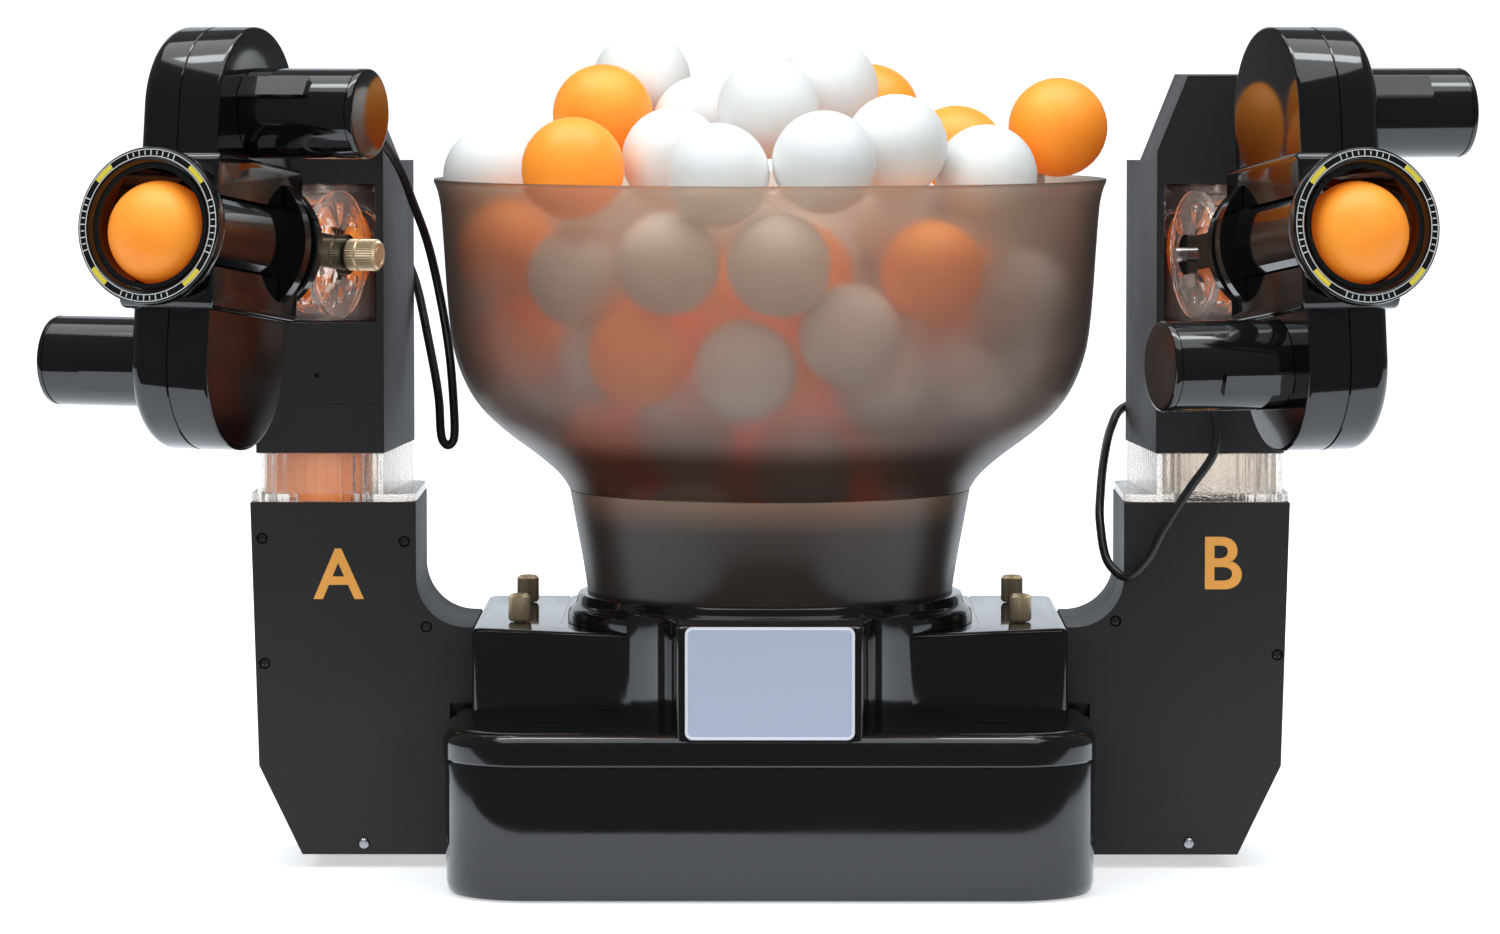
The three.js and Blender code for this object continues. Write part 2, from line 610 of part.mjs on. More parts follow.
function columnFront() {
  const y = [arm.front, column.lid];
  const inner = [arm.front + column.wall, column.lid + fit.overrun];
  const outer = slab(columnShape(0, y), column.bottom, column.top);
  const floor = column.bottom + column.wall;
  const lower = slab(columnShape(column.wall, inner), floor, recess.bottom - recess.plate);
  const upper = slab(columnShape(column.wall, inner), recess.top + recess.plate, column.top - column.wall);
  const cornered = cut(upper, columnChamfer().translate([column.wall, 0, -column.wall]));
  const pocket = box(
    [arm.x - recess.halfWidth, arm.x + recess.halfWidth],
    [arm.front - fit.overrun, recess.back],
    [recess.bottom, recess.top],
  );
  const sideWindow = box(
    [arm.x, column.outer + fit.overrun],
    [arm.front - fit.overrun, recess.window],
    [recess.bottom, recess.top],
  );
  const opening = join(pocket, sideWindow);
  const way = [arm.x, arm.ballY];
  const tubeWall = rod(bore.outer, [...way, column.bottom], [...way, recess.bottom]);
  const over = [...way, recess.bottom + fit.overrun];
  const hollow = rod(bore.radius, [...way, column.bottom - fit.overrun], over);
  return cut(join(cut(outer, lower, cornered, opening), cut(tubeWall, opening)), hollow, columnChamfer());
}

function columnBack() {
  const y = [column.lid + fit.gap, arm.back];
  const inner = [column.lid - fit.overrun, arm.back - column.wall];
  const outer = slab(columnShape(0, y), column.bottom, column.top);
  const tall = [column.bottom + column.wall, column.top - column.wall];
  const hollow = slab(columnShape(column.wall, inner), ...tall);
  const cornered = cut(hollow, columnChamfer().translate([column.wall, 0, -column.wall]));
  return cut(outer, cornered, columnChamfer());
}

// The head's pieces
function headElbow() {
  const half = elbow.height / 2;
  const hub = rod(elbow.radius, [0, 0, -half], [0, 0, half], facets.round);
  const spout = rod(elbow.radius, [0, 0, 0], [0, -elbow.spout, 0], facets.round);
  const plates = [-1, 1].map((sign) => {
    return rod(elbow.plateRadius, [0, 0, sign * half], [0, 0, sign * (half - elbow.plate)], facets.round);
  });
  const rib = box([-elbow.plate / 2, elbow.plate / 2], [-elbow.spout + elbow.plate, 0], [-half, half]);
  const cheeks = [-1, 1].map((sign) => {
    const outer = sign * elbow.radius;
    return rod(elbow.cheekRadius, [outer - sign * elbow.plate, tilt.y, 0], [outer, tilt.y, 0], facets.round);
  });
  const down = rod(bore.radius, [0, 0, -half - fit.overrun], [0, 0, 0], facets.bore);
  const turn = sphere(bore.radius, [0, 0, 0], facets.bore);
  const out = rod(bore.radius, [0, 0, 0], [0, -elbow.spout - fit.overrun, 0], facets.bore);
  const wide = elbow.radius + fit.overrun;
  const pinHole = rod(tilt.pin + fit.gap, [-wide, tilt.y, 0], [wide, tilt.y, 0], facets.small);
  return cut(join(hub, spout, ...plates, rib, ...cheeks), down, turn, out, pinHole);
}

function headCollar() {
  const flange = turnedAlongY([
    [bore.radius + fit.gap, collar.back],
    [collar.flange, collar.back],
    [collar.flange, collar.front],
    [bore.radius + fit.gap, collar.front],
  ], facets.round);
  const sleeve = turnedAlongY([
    [barrel.radius + fit.gap, collar.front + collar.lip],
    [collar.sleeve, collar.front + collar.lip],
    [collar.sleeve, collar.sleeveFront],
    [barrel.radius + fit.gap, collar.sleeveFront],
  ], facets.round);
  const seatEnd = [0, collar.sleeveFront - fit.overrun, 0];
  const seatCut = rod(barrel.radius + fit.gap, [0, collar.front, 0], seatEnd, facets.round);
  const cheeks = [-1, 1].map((sign) => {
    const near = sign * (elbow.radius + fit.running);
    const far = sign * (elbow.radius + fit.running + tilt.cheek);
    const x = [Math.min(near, far), Math.max(near, far)];
    const boss = rod(tilt.cheekRadius, [near, tilt.y, 0], [far, tilt.y, 0], facets.bore);
    return join(boss, box(x, [collar.front, tilt.y], [-tilt.armHalf, tilt.armHalf]));
  });
  const reach = elbow.radius + fit.running;
  const pinEnd = [-bore.radius - fit.gap, tilt.y, 0];
  const pin = rod(tilt.pin, [-reach - tilt.cheek, tilt.y, 0], pinEnd, facets.small);
  const holeEnd = [reach + tilt.cheek + fit.overrun, tilt.y, 0];
  const hole = rod(tilt.pin + fit.gap, [reach - fit.overrun, tilt.y, 0], holeEnd, facets.small);
  return cut(join(flange, cut(sleeve, seatCut), ...cheeks, pin), hole);
}

function lockNut() {
  const start = elbow.radius + fit.running + tilt.cheek + fit.gap;
  const end = start + nut.length;
  const knob = turnedAlongX([
    [0, start],
    [nut.radius, start],
    [nut.radius, end - nut.nose],
    [nut.radius - nut.nose, end],
    [0, end],
  ], nut.knurls);
  const stud = rod(tilt.pin, [bore.radius + fit.gap, 0, 0], [start + nut.nose, 0, 0], facets.small);
  return join(knob, stud);
}

function wheelCuts(radius, halfWidth) {
  return [-1, 1].map((sign) => {
    const at = [wheel.y, sign * wheel.z];
    return rod(radius, [-halfWidth, ...at], [halfWidth, ...at], facets.round);
  });
}

function barrelTube() {
  const back = collar.front - fit.gap;
  const outer = rod(barrel.radius, [0, back, 0], [0, barrel.mouth, 0], facets.round);
  const mouth = [0, barrel.mouth - fit.overrun, 0];
  const inner = rod(barrel.radius - barrel.wall, [0, back + fit.overrun, 0], mouth, facets.round);
  const wells = wheelCuts(wheel.radius + fit.overrun, wheel.halfWidth + fit.overrun);
  return cut(join(outer, barrelGuard()), inner, ...wells);
}

// Two arcs stand up from the barrel beside the wheel housings
function barrelGuard() {
  const flange = rod(guard.radius, [0, guard.back, 0], [0, guard.front, 0], facets.round);
  const half = saddle.halfWidth + guard.clearance;
  const high = guard.radius + fit.overrun;
  const y = [guard.front - fit.overrun, guard.back + fit.overrun];
  return cut(flange, box([-half, half], y, [-high, high]));
}

function mouthRing() {
  const inner = barrel.radius + fit.gap;
  return turnedAlongY([
    [inner, ring.back],
    [ring.sleeve, ring.back],
    [ring.radius, ring.shoulder],
    [ring.radius, ring.face],
    [ring.inner, ring.face],
    [inner, barrel.mouth],
  ], facets.round);
}

// One half of a wheel housing, drawn above the barrel
function housingHalf(right) {
  const shape = new THREE.Shape();
  shape.moveTo(wheel.y - housing.radius, housing.root);
  shape.lineTo(wheel.y + housing.radius, housing.root);
  shape.absarc(wheel.y, wheel.z, housing.radius, 0, Math.PI);
  const shell = sideways(shape, -housing.halfWidth, housing.halfWidth, facets.bore / 2);
  const foot = roundedRect(
    [wheel.y - saddle.halfLength, wheel.y + saddle.halfLength],
    [housing.root - saddle.round, saddle.top],
    saddle.round,
  );
  const base = sideways(foot, -saddle.halfWidth, saddle.halfWidth, facets.arc);
  const ear = rod(lug.radius, [-lug.halfWidth, lug.y, lug.z], [lug.halfWidth, lug.y, lug.z], facets.small);
  const levelRod = (radius, half, at, sides) => rod(radius, [-half, ...at], [half, ...at], sides);
  const eye = levelRod(lug.hole, saddle.halfWidth, [lug.y, lug.z], facets.small);
  const hub = [wheel.y, wheel.z];
  const cavity = levelRod(housing.cavity, housing.cavityHalf, hub, facets.bore);
  const throat = box(
    [-housing.cavityHalf, housing.cavityHalf],
    [wheel.y - housing.cavity + housing.root, wheel.y + housing.cavity - housing.root],
    [0, wheel.z],
  );
  const tube = rod(barrel.radius + fit.gap, [0, collar.front, 0], [0, ring.face, 0], facets.round);
  const axle = rod(
    wheel.shaft + fit.gap,
    [0, ...hub],
    [housing.halfWidth + fit.overrun, ...hub],
    facets.small,
  );
  const wide = saddle.halfWidth + fit.overrun;
  const deep = saddle.halfLength + housing.radius;
  const x = right ? [-wide, fit.gap / 2] : [-fit.gap / 2, wide];
  const away = box(x, [wheel.y - deep, wheel.y + deep], [-wheel.z, wheel.z + deep]);
  const under = box([-wide, wide], [wheel.y - deep, wheel.y + deep], [-wheel.z, fit.gap]);
  return cut(join(shell, base, ear), cavity, throat, tube, eye, axle, away, under);
}

function flyWheel() {
  const w = wheel.halfWidth;
  const rim = wheel.radius - wheel.rimDepth;
  const profile = [
    [0, -w],
    [wheel.shaft, -w],
    [wheel.shaft, -wheel.web],
    [rim, -wheel.web],
    [rim, -w],
    [wheel.radius, -w],
    [wheel.radius, w],
    [rim, w],
    [rim, wheel.web],
    [wheel.shaft, wheel.web],
    [wheel.shaft, housing.halfWidth],
    [0, housing.halfWidth],
  ];
  return turnedAlongX(profile, facets.bore).translate([0, wheel.y, wheel.z]);
}

function wheelMotor() {
  const start = housing.halfWidth + fit.gap;
  const end = start + can.length;
  const profile = [
    [0, start],
    [can.radius, start],
    [can.radius, end - can.bevel],
    [can.radius - can.bevel, end],
    [0, end],
  ];
  const solid = turnedAlongX(profile, facets.bore);
  const keyLength = [start, start + can.stepLength];
  const key = box(keyLength, [-can.stepHalf, can.stepHalf], [0, can.radius + can.step]);
  return join(solid, key.rotate([can.stepTurn, 0, 0])).translate([0, wheel.y, wheel.z]);
}

// A cord along a hand-chosen route, given as [x, y, z]
function cordAlong(route) {
  const points = route.map((point) => new THREE.Vector3(...point));
  const path = new THREE.CatmullRomCurve3(points, false, "centripetal");
  const section = new THREE.Shape();
  for (let i = 0; i < cord.sides; i++) {
    const angle = (i * 2 * Math.PI) / cord.sides;
    const point = [cord.radius * Math.cos(angle), cord.radius * Math.sin(angle)];
    if (i) section.lineTo(...point);
    else section.moveTo(...point);
  }
  const steps = Math.round(path.getLength() / (cord.radius * cord.stepShare));
  return solidOf(new THREE.ExtrudeGeometry(section, { steps, extrudePath: path, bevelEnabled: false }));
}

// Each route follows the faces of the casing and the column: x counts from the casing's inner side,
// y from the arm's front or back face, and z from the sweep axis or the casing's top
const beside = casing.inner;
const fore = arm.front;
const aft = arm.back;
const upper = sweepZ;
const under = casing.top;
const cordRoutes = {
  a: [
    [-beside - 24, fore - 0.3, upper + 56.5],
    [-beside - 24, fore - 5, upper + 56.5],
    [-beside - 19, fore - 7, upper + 51.5],
    [-beside - 11, fore - 5, upper + 42.5],
    [-beside - 6, fore + 3, upper + 33.5],
    [-beside - 2, fore + 18, upper + 20.5],
    [-beside + 3, fore + 35, upper + 3.5],
    [-beside + 7, fore + 49, upper - 17.5],
    [-beside + 10.5, aft - 23, upper - 41.5],
    [-beside + 12, aft - 20, upper - 61.5],
    [-beside + 12, aft - 19, under + 23.7],
    [-beside + 10, aft - 18.5, under + 18.2],
    [-beside + 7.5, aft - 18, under + 23.7],
    [-beside + 6, aft - 15, upper - 61.5],
    [-beside + 1, aft - 5, upper - 37.5],
    [-beside - 5, aft + 5, upper - 13.5],
    [-beside - 10, aft + 6.5, upper - 2.5],
    [-beside - 14, aft + 4.5, upper + 1.5],
    [-beside - 14, aft + 0.3, upper + 1.5],
  ],
  b: [
    [beside + 34, fore - 0.3, under + 44.7],
    [beside + 34, fore - 5, under + 44.7],
    [beside + 34.5, fore - 7.5, under + 39.7],
    [beside + 36, fore - 8, under + 31.7],
    [beside + 35, fore - 9, under + 20.7],
    [beside + 25, fore - 9, under + 5.7],
    [beside + 15, fore - 9, under - 10.3],
    [beside + 9, fore - 7, under - 22.3],
    [beside + 1, fore - 4, under - 29.3],
    [beside - 6, fore + 1, under - 24.3],
    [beside - 9, fore + 10, under - 9.3],
    [beside - 8, fore + 25, under + 3.7],
    [beside - 5, aft - 30, under + 16.7],
    [beside - 1, aft - 5, under + 25.7],
    [beside + 3, aft + 5, under + 31.7],
    [beside + 9, aft + 7, under + 34.7],
    [beside + 13, aft + 5, under + 35.7],
    [beside + 13, aft + 0.3, under + 35.7],
  ],
};

function armGroup(head) {
  const group = new THREE.Group();
  group.scale.x = head.sign;
  const s = head.side;
  group.add(
    piece(`casing_front_${s}`, casingHalf(true), finishes.satin),
    piece(`casing_back_${s}`, casingHalf(false), finishes.satin),
    piece(`arm_tube_${s}`, armTube(), finishes.satin),
    piece(`clear_block_${s}`, clearBlock(), finishes.clear),
    piece(`column_${s}`, columnFront(), finishes.satin),
    piece(`column_back_${s}`, columnBack(), finishes.satin),
  );
  return group;
}

// The head leans about the tilt pin, and the elbow only sweeps
function headGroup(head) {
  const s = head.side;
  const sweep = new THREE.Group();
  sweep.position.set(head.sign * arm.x, arm.ballY, sweepZ);
  sweep.rotation.z = head.yaw * degree;
  sweep.add(piece(`elbow_${s}`, headElbow(), finishes.clear));
  const lean = new THREE.Group();
  lean.position.y = tilt.y;
  lean.rotation.x = -head.pitch * degree;
  const local = new THREE.Group();
  local.position.y = -tilt.y;
  const below = new THREE.Matrix4().makeRotationY(Math.PI);
  const turnedOver = (mesh) => {
    mesh.applyMatrix4(below);
    return mesh;
  };
  const screwNut = piece(`lock_nut_${s}`, lockNut(), finishes.brass);
  screwNut.position.y = tilt.y;
  local.add(
    piece(`collar_${s}`, headCollar(), finishes.gloss),
    screwNut,
    piece(`barrel_${s}`, barrelTube(), finishes.gloss),
    piece(`mouth_ring_${s}`, mouthRing(), finishes.gloss),
    piece(`upper_housing_right_${s}`, housingHalf(true), finishes.gloss),
    piece(`upper_housing_left_${s}`, housingHalf(false), finishes.gloss),
    piece(`upper_wheel_${s}`, flyWheel(), finishes.rubber),
    piece(`upper_motor_${s}`, wheelMotor(), finishes.gloss),
    turnedOver(piece(`lower_housing_left_${s}`, housingHalf(true), finishes.gloss)),
    turnedOver(piece(`lower_housing_right_${s}`, housingHalf(false), finishes.gloss)),
    turnedOver(piece(`lower_wheel_${s}`, flyWheel(), finishes.rubber)),
    turnedOver(piece(`lower_motor_${s}`, wheelMotor(), finishes.gloss)),
  );
  lean.add(local);
  sweep.add(lean);
  return sweep;
}

const robot = new THREE.Group();
robot.add(
  baseTray(),
  baseCover(),
  controlPanel(),
  ...rubberStrips(),
  ...thumbScrews(),
  powerInlet(),
  seatRing(),
  bowlNeck(),
  feedBowl(),
  feedDisc(),
  feedGear(),
  feedPinion(),
  feedMotor(),
);
for (const head of heads) {
  robot.add(baseDuct(head), armGroup(head), headGroup(head));
  robot.add(piece(`cable_${head.side}`, cordAlong(cordRoutes[head.side]), finishes.rubber));
}

export default robot;
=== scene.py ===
# %% [markdown]
# A table tennis robot feeds balls from a smoky bowl through two arms to two throwing heads.
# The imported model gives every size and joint. This lesson dresses it: it rebuilds the round and
# glossy pieces with fine meshes, in millimetres and then scaled to metres, and it leaves the
# model's own solids to the physics.

# %% Load the model
import math
import random

import bmesh
import bpy
from mathutils import Matrix, Vector


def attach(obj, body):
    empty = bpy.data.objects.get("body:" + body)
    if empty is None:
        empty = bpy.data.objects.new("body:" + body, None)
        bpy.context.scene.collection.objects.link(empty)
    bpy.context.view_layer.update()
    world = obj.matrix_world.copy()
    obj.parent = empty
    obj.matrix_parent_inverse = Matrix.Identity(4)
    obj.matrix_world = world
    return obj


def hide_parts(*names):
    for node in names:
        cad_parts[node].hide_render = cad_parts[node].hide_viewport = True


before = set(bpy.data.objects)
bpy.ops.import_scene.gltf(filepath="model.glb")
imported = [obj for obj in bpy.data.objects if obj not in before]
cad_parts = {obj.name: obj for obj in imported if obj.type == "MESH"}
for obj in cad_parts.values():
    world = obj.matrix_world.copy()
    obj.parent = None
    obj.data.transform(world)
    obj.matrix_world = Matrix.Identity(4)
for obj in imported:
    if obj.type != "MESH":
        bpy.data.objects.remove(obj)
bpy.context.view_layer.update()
scene = bpy.context.scene
scene.view_settings.view_transform = "Standard"

# %% [markdown]
# The photograph was taken from the front, a little above the rim of the bowl, with a long lens.
# How fast the arms' depth edges converge gives the distance, and the horizon's height gives the tilt.
# The camera is turned to the photograph's view and isn't shifted, so that upright edges converge
# as they do there.

# %% The camera
photo_width = 1500
photo_height = 934
focal_px = 6160
horizon_px = 30
axis_px = 770
camera_distance = 2.46
camera_height = 0.334
camera_data = bpy.data.cameras.new("camera")
camera_data.sensor_width = 36
camera_data.lens = focal_px / photo_width * camera_data.sensor_width
camera = bpy.data.objects.new("camera", camera_data)
scene.collection.objects.link(camera)
camera.location = (0, -camera_distance, camera_height)
pitch = math.atan((photo_height / 2 - horizon_px) / focal_px)
turn = math.atan((axis_px - photo_width / 2) / focal_px)
camera.rotation_euler = (math.pi / 2 - pitch, 0, turn)
scene.camera = camera

# %% [markdown]
# A few small helpers build the node trees: one adds a node, one feeds a socket with a link or a plain
# value, and the rest give a sum, a mix, a stretched range, a place on the object or the kind of ray.

# %% Node helpers


def add_node(tree, kind, **settings):
    node = tree.nodes.new("ShaderNode" + kind)
    for label, value in settings.items():
        setattr(node, label, value)
    return node


def feed(tree, socket, value):
    """Links an output to a socket, or sets the socket to a plain value."""
    if isinstance(value, bpy.types.NodeSocket):
        tree.links.new(value, socket)
    else:
        socket.default_value = value


def set_sockets(node, values):
    for label, value in values.items():
        node.inputs[label].default_value = value


def math_in(tree, operation, *values):
    node = add_node(tree, "Math", operation=operation)
    for socket, value in zip(node.inputs, values):
        feed(tree, socket, value)
    return node.outputs[0]


def mix_in(tree, factor, under, over):
    """Mixes one colour over another by a factor."""
    node = add_node(tree, "Mix", data_type="RGBA")
    for index, value in ((0, factor), (6, under), (7, over)):
        feed(tree, node.inputs[index], value)
    return node.outputs[2]


def range_in(tree, value, *limits):
    """Stretches the range between the first two limits to the next two, or to 0 and 1."""
    node = add_node(tree, "MapRange")
    labels = ("Value", "From Min", "From Max", "To Min", "To Max")
    for label, number in zip(labels, (value, *limits)):
        feed(tree, node.inputs[label], number)
    return node.outputs[0]


def own_axis(tree, axis):
    """A coordinate in the object's own space."""
    split = add_node(tree, "SeparateXYZ")
    feed(tree, split.inputs[0], add_node(tree, "TexCoord").outputs["Object"])
    return split.outputs[axis]


def ray_masks(tree):
    """Which rays come from the camera or through glass, and which ones a gloss mirrors."""
    paths = add_node(tree, "LightPath")
    direct = math_in(tree, "MAXIMUM", paths.outputs["Is Camera Ray"], paths.outputs["Is Transmission Ray"])
    return direct, paths.outputs["Is Glossy Ray"]


def blank(name):
    """A new material with its node tree and its Principled shader."""
    material = bpy.data.materials.new(name)
    material.use_nodes = True
    return material, material.node_tree, material.node_tree.nodes["Principled BSDF"]


print("node helpers ready")

# %% [markdown]
# The machine stands on a pale table in front of a pale backdrop, made as one sweep. The table ends a
# little in front of the machine and the room beyond is dim, which is why the glossy black faces of
# the real one are dark above and pale grey just over the table. Light Path makes the world white to
# the camera and through glass. The sweep glows in full only well behind the machine, so that a soft
# shadow still falls on the table, and a gloss mirrors it at a lower level.

# %% The table, the backdrop and the room
white = (1, 1, 1, 1)
pale = (0.86, 0.875, 0.9, 1)
daylight = (0.86, 0.93, 1.0, 1)
table_front, table_back, table_half = -0.36, 4.6, 3.0
table_drop = 0.0004
sweep_radius, sweep_steps, backdrop_top = 0.9, 12, 3.6
glow_reach, glow_levels = (0.35, 1.3), (0.55, 1.0)
mirrored_glow = 0.55
room_glow = 0.14


def sweep_floor():
    mesh = bpy.data.meshes.new("floor")
    turns = [i * math.pi / 2 / sweep_steps for i in range(sweep_steps + 1)]
    bend = [(sweep_radius * math.sin(a), sweep_radius - sweep_radius * math.cos(a)) for a in turns]
    rows = [(table_front, 0.0)]
    rows += [(table_back + y, z) for y, z in bend]
    rows += [(table_back + sweep_radius, backdrop_top)]
    verts = [(x, y, z - table_drop) for y, z in rows for x in (-table_half, table_half)]
    faces = [(2 * i, 2 * i + 1, 2 * i + 3, 2 * i + 2) for i in range(len(rows) - 1)]
    mesh.from_pydata(verts, [], faces)
    mesh.shade_smooth()
    floor = bpy.data.objects.new("floor", mesh)
    scene.collection.objects.link(floor)
    return floor


floor = sweep_floor()
floor_material, tree, shader = blank("pale table")
set_sockets(shader, {"Base Color": pale, "Roughness": 0.6})
direct, mirrored = ray_masks(tree)
feed(tree, shader.inputs["Emission Color"], mix_in(tree, direct, daylight, white))
faded = math_in(tree, "MULTIPLY", direct, range_in(tree, own_axis(tree, "Y"), *glow_reach, *glow_levels))
in_gloss = math_in(tree, "MULTIPLY", mirrored, mirrored_glow)
feed(tree, shader.inputs["Emission Strength"], math_in(tree, "MAXIMUM", faded, in_gloss))
floor.data.materials.append(floor_material)

world = bpy.data.worlds.new("studio")
scene.world = world
world.use_nodes = True
tree = world.node_tree
room = tree.nodes["Background"]
set_sockets(room, {"Color": daylight, "Strength": room_glow})
backdrop = add_node(tree, "Background")
set_sockets(backdrop, {"Color": white, "Strength": 1.0})
choose = add_node(tree, "MixShader")
for socket, value in zip(choose.inputs, (ray_masks(tree)[0], room.outputs[0], backdrop.outputs[0])):
    tree.links.new(value, socket)
tree.links.new(choose.outputs[0], tree.nodes["World Output"].inputs["Surface"])
print("table from", table_front, "m, half width", table_half, "m")

# %% [markdown]
# Five broad soft lamps do the lighting: a wide panel and a long tube overhead, a window-like key from
# the left, a weaker fill from the right and a low one in front. Only the two overhead ones are seen in
# reflections. The other three light the matt parts, and would leave white patches on the gloss black.

# %% The lamps
lamp_tint = (0.95, 0.98, 1.0)


def soft_box(name, place, target, size, power, mirrored=True):
    data = bpy.data.lights.new(name, "AREA")
    data.shape = "RECTANGLE"
    data.size, data.size_y = size
    data.energy = power
    data.color = lamp_tint
    lamp = bpy.data.objects.new(name, data)
    lamp.location = place
    lamp.rotation_euler = (Vector(target) - Vector(place)).to_track_quat("-Z", "Y").to_euler()
    lamp.visible_glossy = mirrored
    scene.collection.objects.link(lamp)


soft_box("top", (0, -0.25, 2.0), (0, 0, 0.1), (2.8, 2.6), 39)
soft_box("tube", (0, -0.15, 1.9), (0, 0, 0.1), (2.4, 0.3), 15)
soft_box("key", (-1.7, -1.7, 1.5), (0, 0, 0.18), (1.5, 1.3), 21, mirrored=False)
soft_box("fill", (1.6, -1.9, 1.2), (0, 0, 0.18), (1.2, 1.2), 13, mirrored=False)
soft_box("front", (0.2, -3.2, 0.5), (0, 0, 0.2), (2.0, 0.8), 17.5, mirrored=False)
print("lamps", len(bpy.data.lights))

# %% [markdown]
# Every piece starts as a bmesh in millimetres. A small set of helpers turns profiles and extrudes
# outlines, joins or cuts them, and hands the result over in metres with rounded edges. A boolean
# from Blender's exact solver is used where a real mould would leave a crisp opening.

# %% Mesh helpers
MM = 0.001


def revolve(profile, steps=96, closed=True):
    """Turns [radius, height] points about Z. A profile that stays off the axis closes on itself."""
    bm = bmesh.new()
    rings = []
    for radius, height in profile:
        if radius == 0:
            rings.append([bm.verts.new((0, 0, height))])
            continue
        angles = [i * 2 * math.pi / steps for i in range(steps)]
        rings.append([bm.verts.new((radius * math.cos(a), radius * math.sin(a), height)) for a in angles])
    pairs = list(zip(rings, rings[1:]))
    if closed and len(rings[0]) > 1 and len(rings[-1]) > 1:
        pairs.append((rings[-1], rings[0]))
    for low, high in pairs:
        for i in range(steps):
            j = (i + 1) % steps
            ring = [low[i % len(low)], low[j % len(low)], high[j % len(high)], high[i % len(high)]]
            corners = list(dict.fromkeys(ring))
            if len(corners) > 2:
                bm.faces.new(corners)
    bmesh.ops.recalc_face_normals(bm, faces=bm.faces)
    return bm


def prism(points, low, high, plane="XY"):
    """Raises an outline. In plane XZ it runs along Y, and in plane YZ along X."""
    order = {
        "XY": lambda u, v, w: (u, v, w),
        "XZ": lambda u, v, w: (u, w, v),
        "YZ": lambda u, v, w: (w, u, v),
    }
    bm = bmesh.new()
    base = [bm.verts.new(order[plane](u, v, low)) for u, v in points]
    top = [bm.verts.new(order[plane](u, v, high)) for u, v in points]
    bm.faces.new(base)
    bm.faces.new(top)
    for i in range(len(points)):
        j = (i + 1) % len(points)
        bm.faces.new((base[i], base[j], top[j], top[i]))
    bmesh.ops.recalc_face_normals(bm, faces=bm.faces)
    return bm


def block(x, y, z):
    return prism([(x[0], y[0]), (x[1], y[0]), (x[1], y[1]), (x[0], y[1])], z[0], z[1])


def arc(centre, radius, start, end, steps):
    angles = [math.radians(start + (end - start) * i / steps) for i in range(steps + 1)]
    return [(centre[0] + radius * math.cos(a), centre[1] + radius * math.sin(a)) for a in angles]


def rounded(x, y, radius, steps=10):
    """The outline of a rectangle with round corners."""
    left, right = x[0] + radius, x[1] - radius
    near, far = y[0] + radius, y[1] - radius
    corners = [((right, near), -90), ((right, far), 0), ((left, far), 90), ((left, near), 180)]
    return [point for centre, angle in corners for point in arc(centre, radius, angle, angle + 90, steps)]


def moved(bm, matrix):
    """Moves a bmesh and turns its faces outwards again when the matrix mirrors it."""
    bmesh.ops.transform(bm, matrix=matrix, verts=bm.verts)
    if matrix.determinant() < 0:
        bmesh.ops.reverse_faces(bm, faces=bm.faces)
    return bm


def rod(radius, start, end, steps=64):
    way = Vector(end) - Vector(start)
    spin = Vector((0, 0, 1)).rotation_difference(way).to_matrix().to_4x4()
    upright_rod = revolve([(0, 0), (radius, 0), (radius, way.length), (0, way.length)], steps)
    return moved(upright_rod, Matrix.Translation(start) @ spin)


def ball_mesh(radius, centre, steps=48):
    bm = bmesh.new()
    bmesh.ops.create_uvsphere(bm, u_segments=steps, v_segments=steps // 2, radius=radius)
    return moved(bm, Matrix.Translation(centre))


def along_x(bm, place=(0, 0, 0)):
    """Lays a turned shape's axis along X."""
    return moved(bm, Matrix.Translation(place) @ Matrix.Rotation(math.pi / 2, 4, "Y"))


def along_y(bm):
    """Lays a turned shape's axis along Y, so that a height becomes a place along Y."""
    return moved(bm, Matrix.Rotation(-math.pi / 2, 4, "X"))


def scratch(bm):
    mesh = bpy.data.meshes.new("scratch")
    bm.to_mesh(mesh)
    bm.free()
    holder = bpy.data.objects.new("scratch", mesh)
    scene.collection.objects.link(holder)
    return holder


def combine(whole, operation, tools):
    """Joins or cuts with each tool in turn and returns one bmesh."""
    target = scratch(whole)
    helpers = [scratch(tool) for tool in tools]
    for helper in helpers:
        step = target.modifiers.new("step", "BOOLEAN")
        step.operation = operation
        step.solver = "EXACT"
        step.object = helper
    bpy.context.view_layer.update()
    result = target.evaluated_get(bpy.context.evaluated_depsgraph_get()).to_mesh()
    bm = bmesh.new()
    bm.from_mesh(result)
    for holder in [target, *helpers]:
        mesh = holder.data
        bpy.data.objects.remove(holder)
        bpy.data.meshes.remove(mesh)
    return bm


def join(whole, *tools):
    return combine(whole, "UNION", tools)


def cut(whole, *tools):
    return combine(whole, "DIFFERENCE", tools)


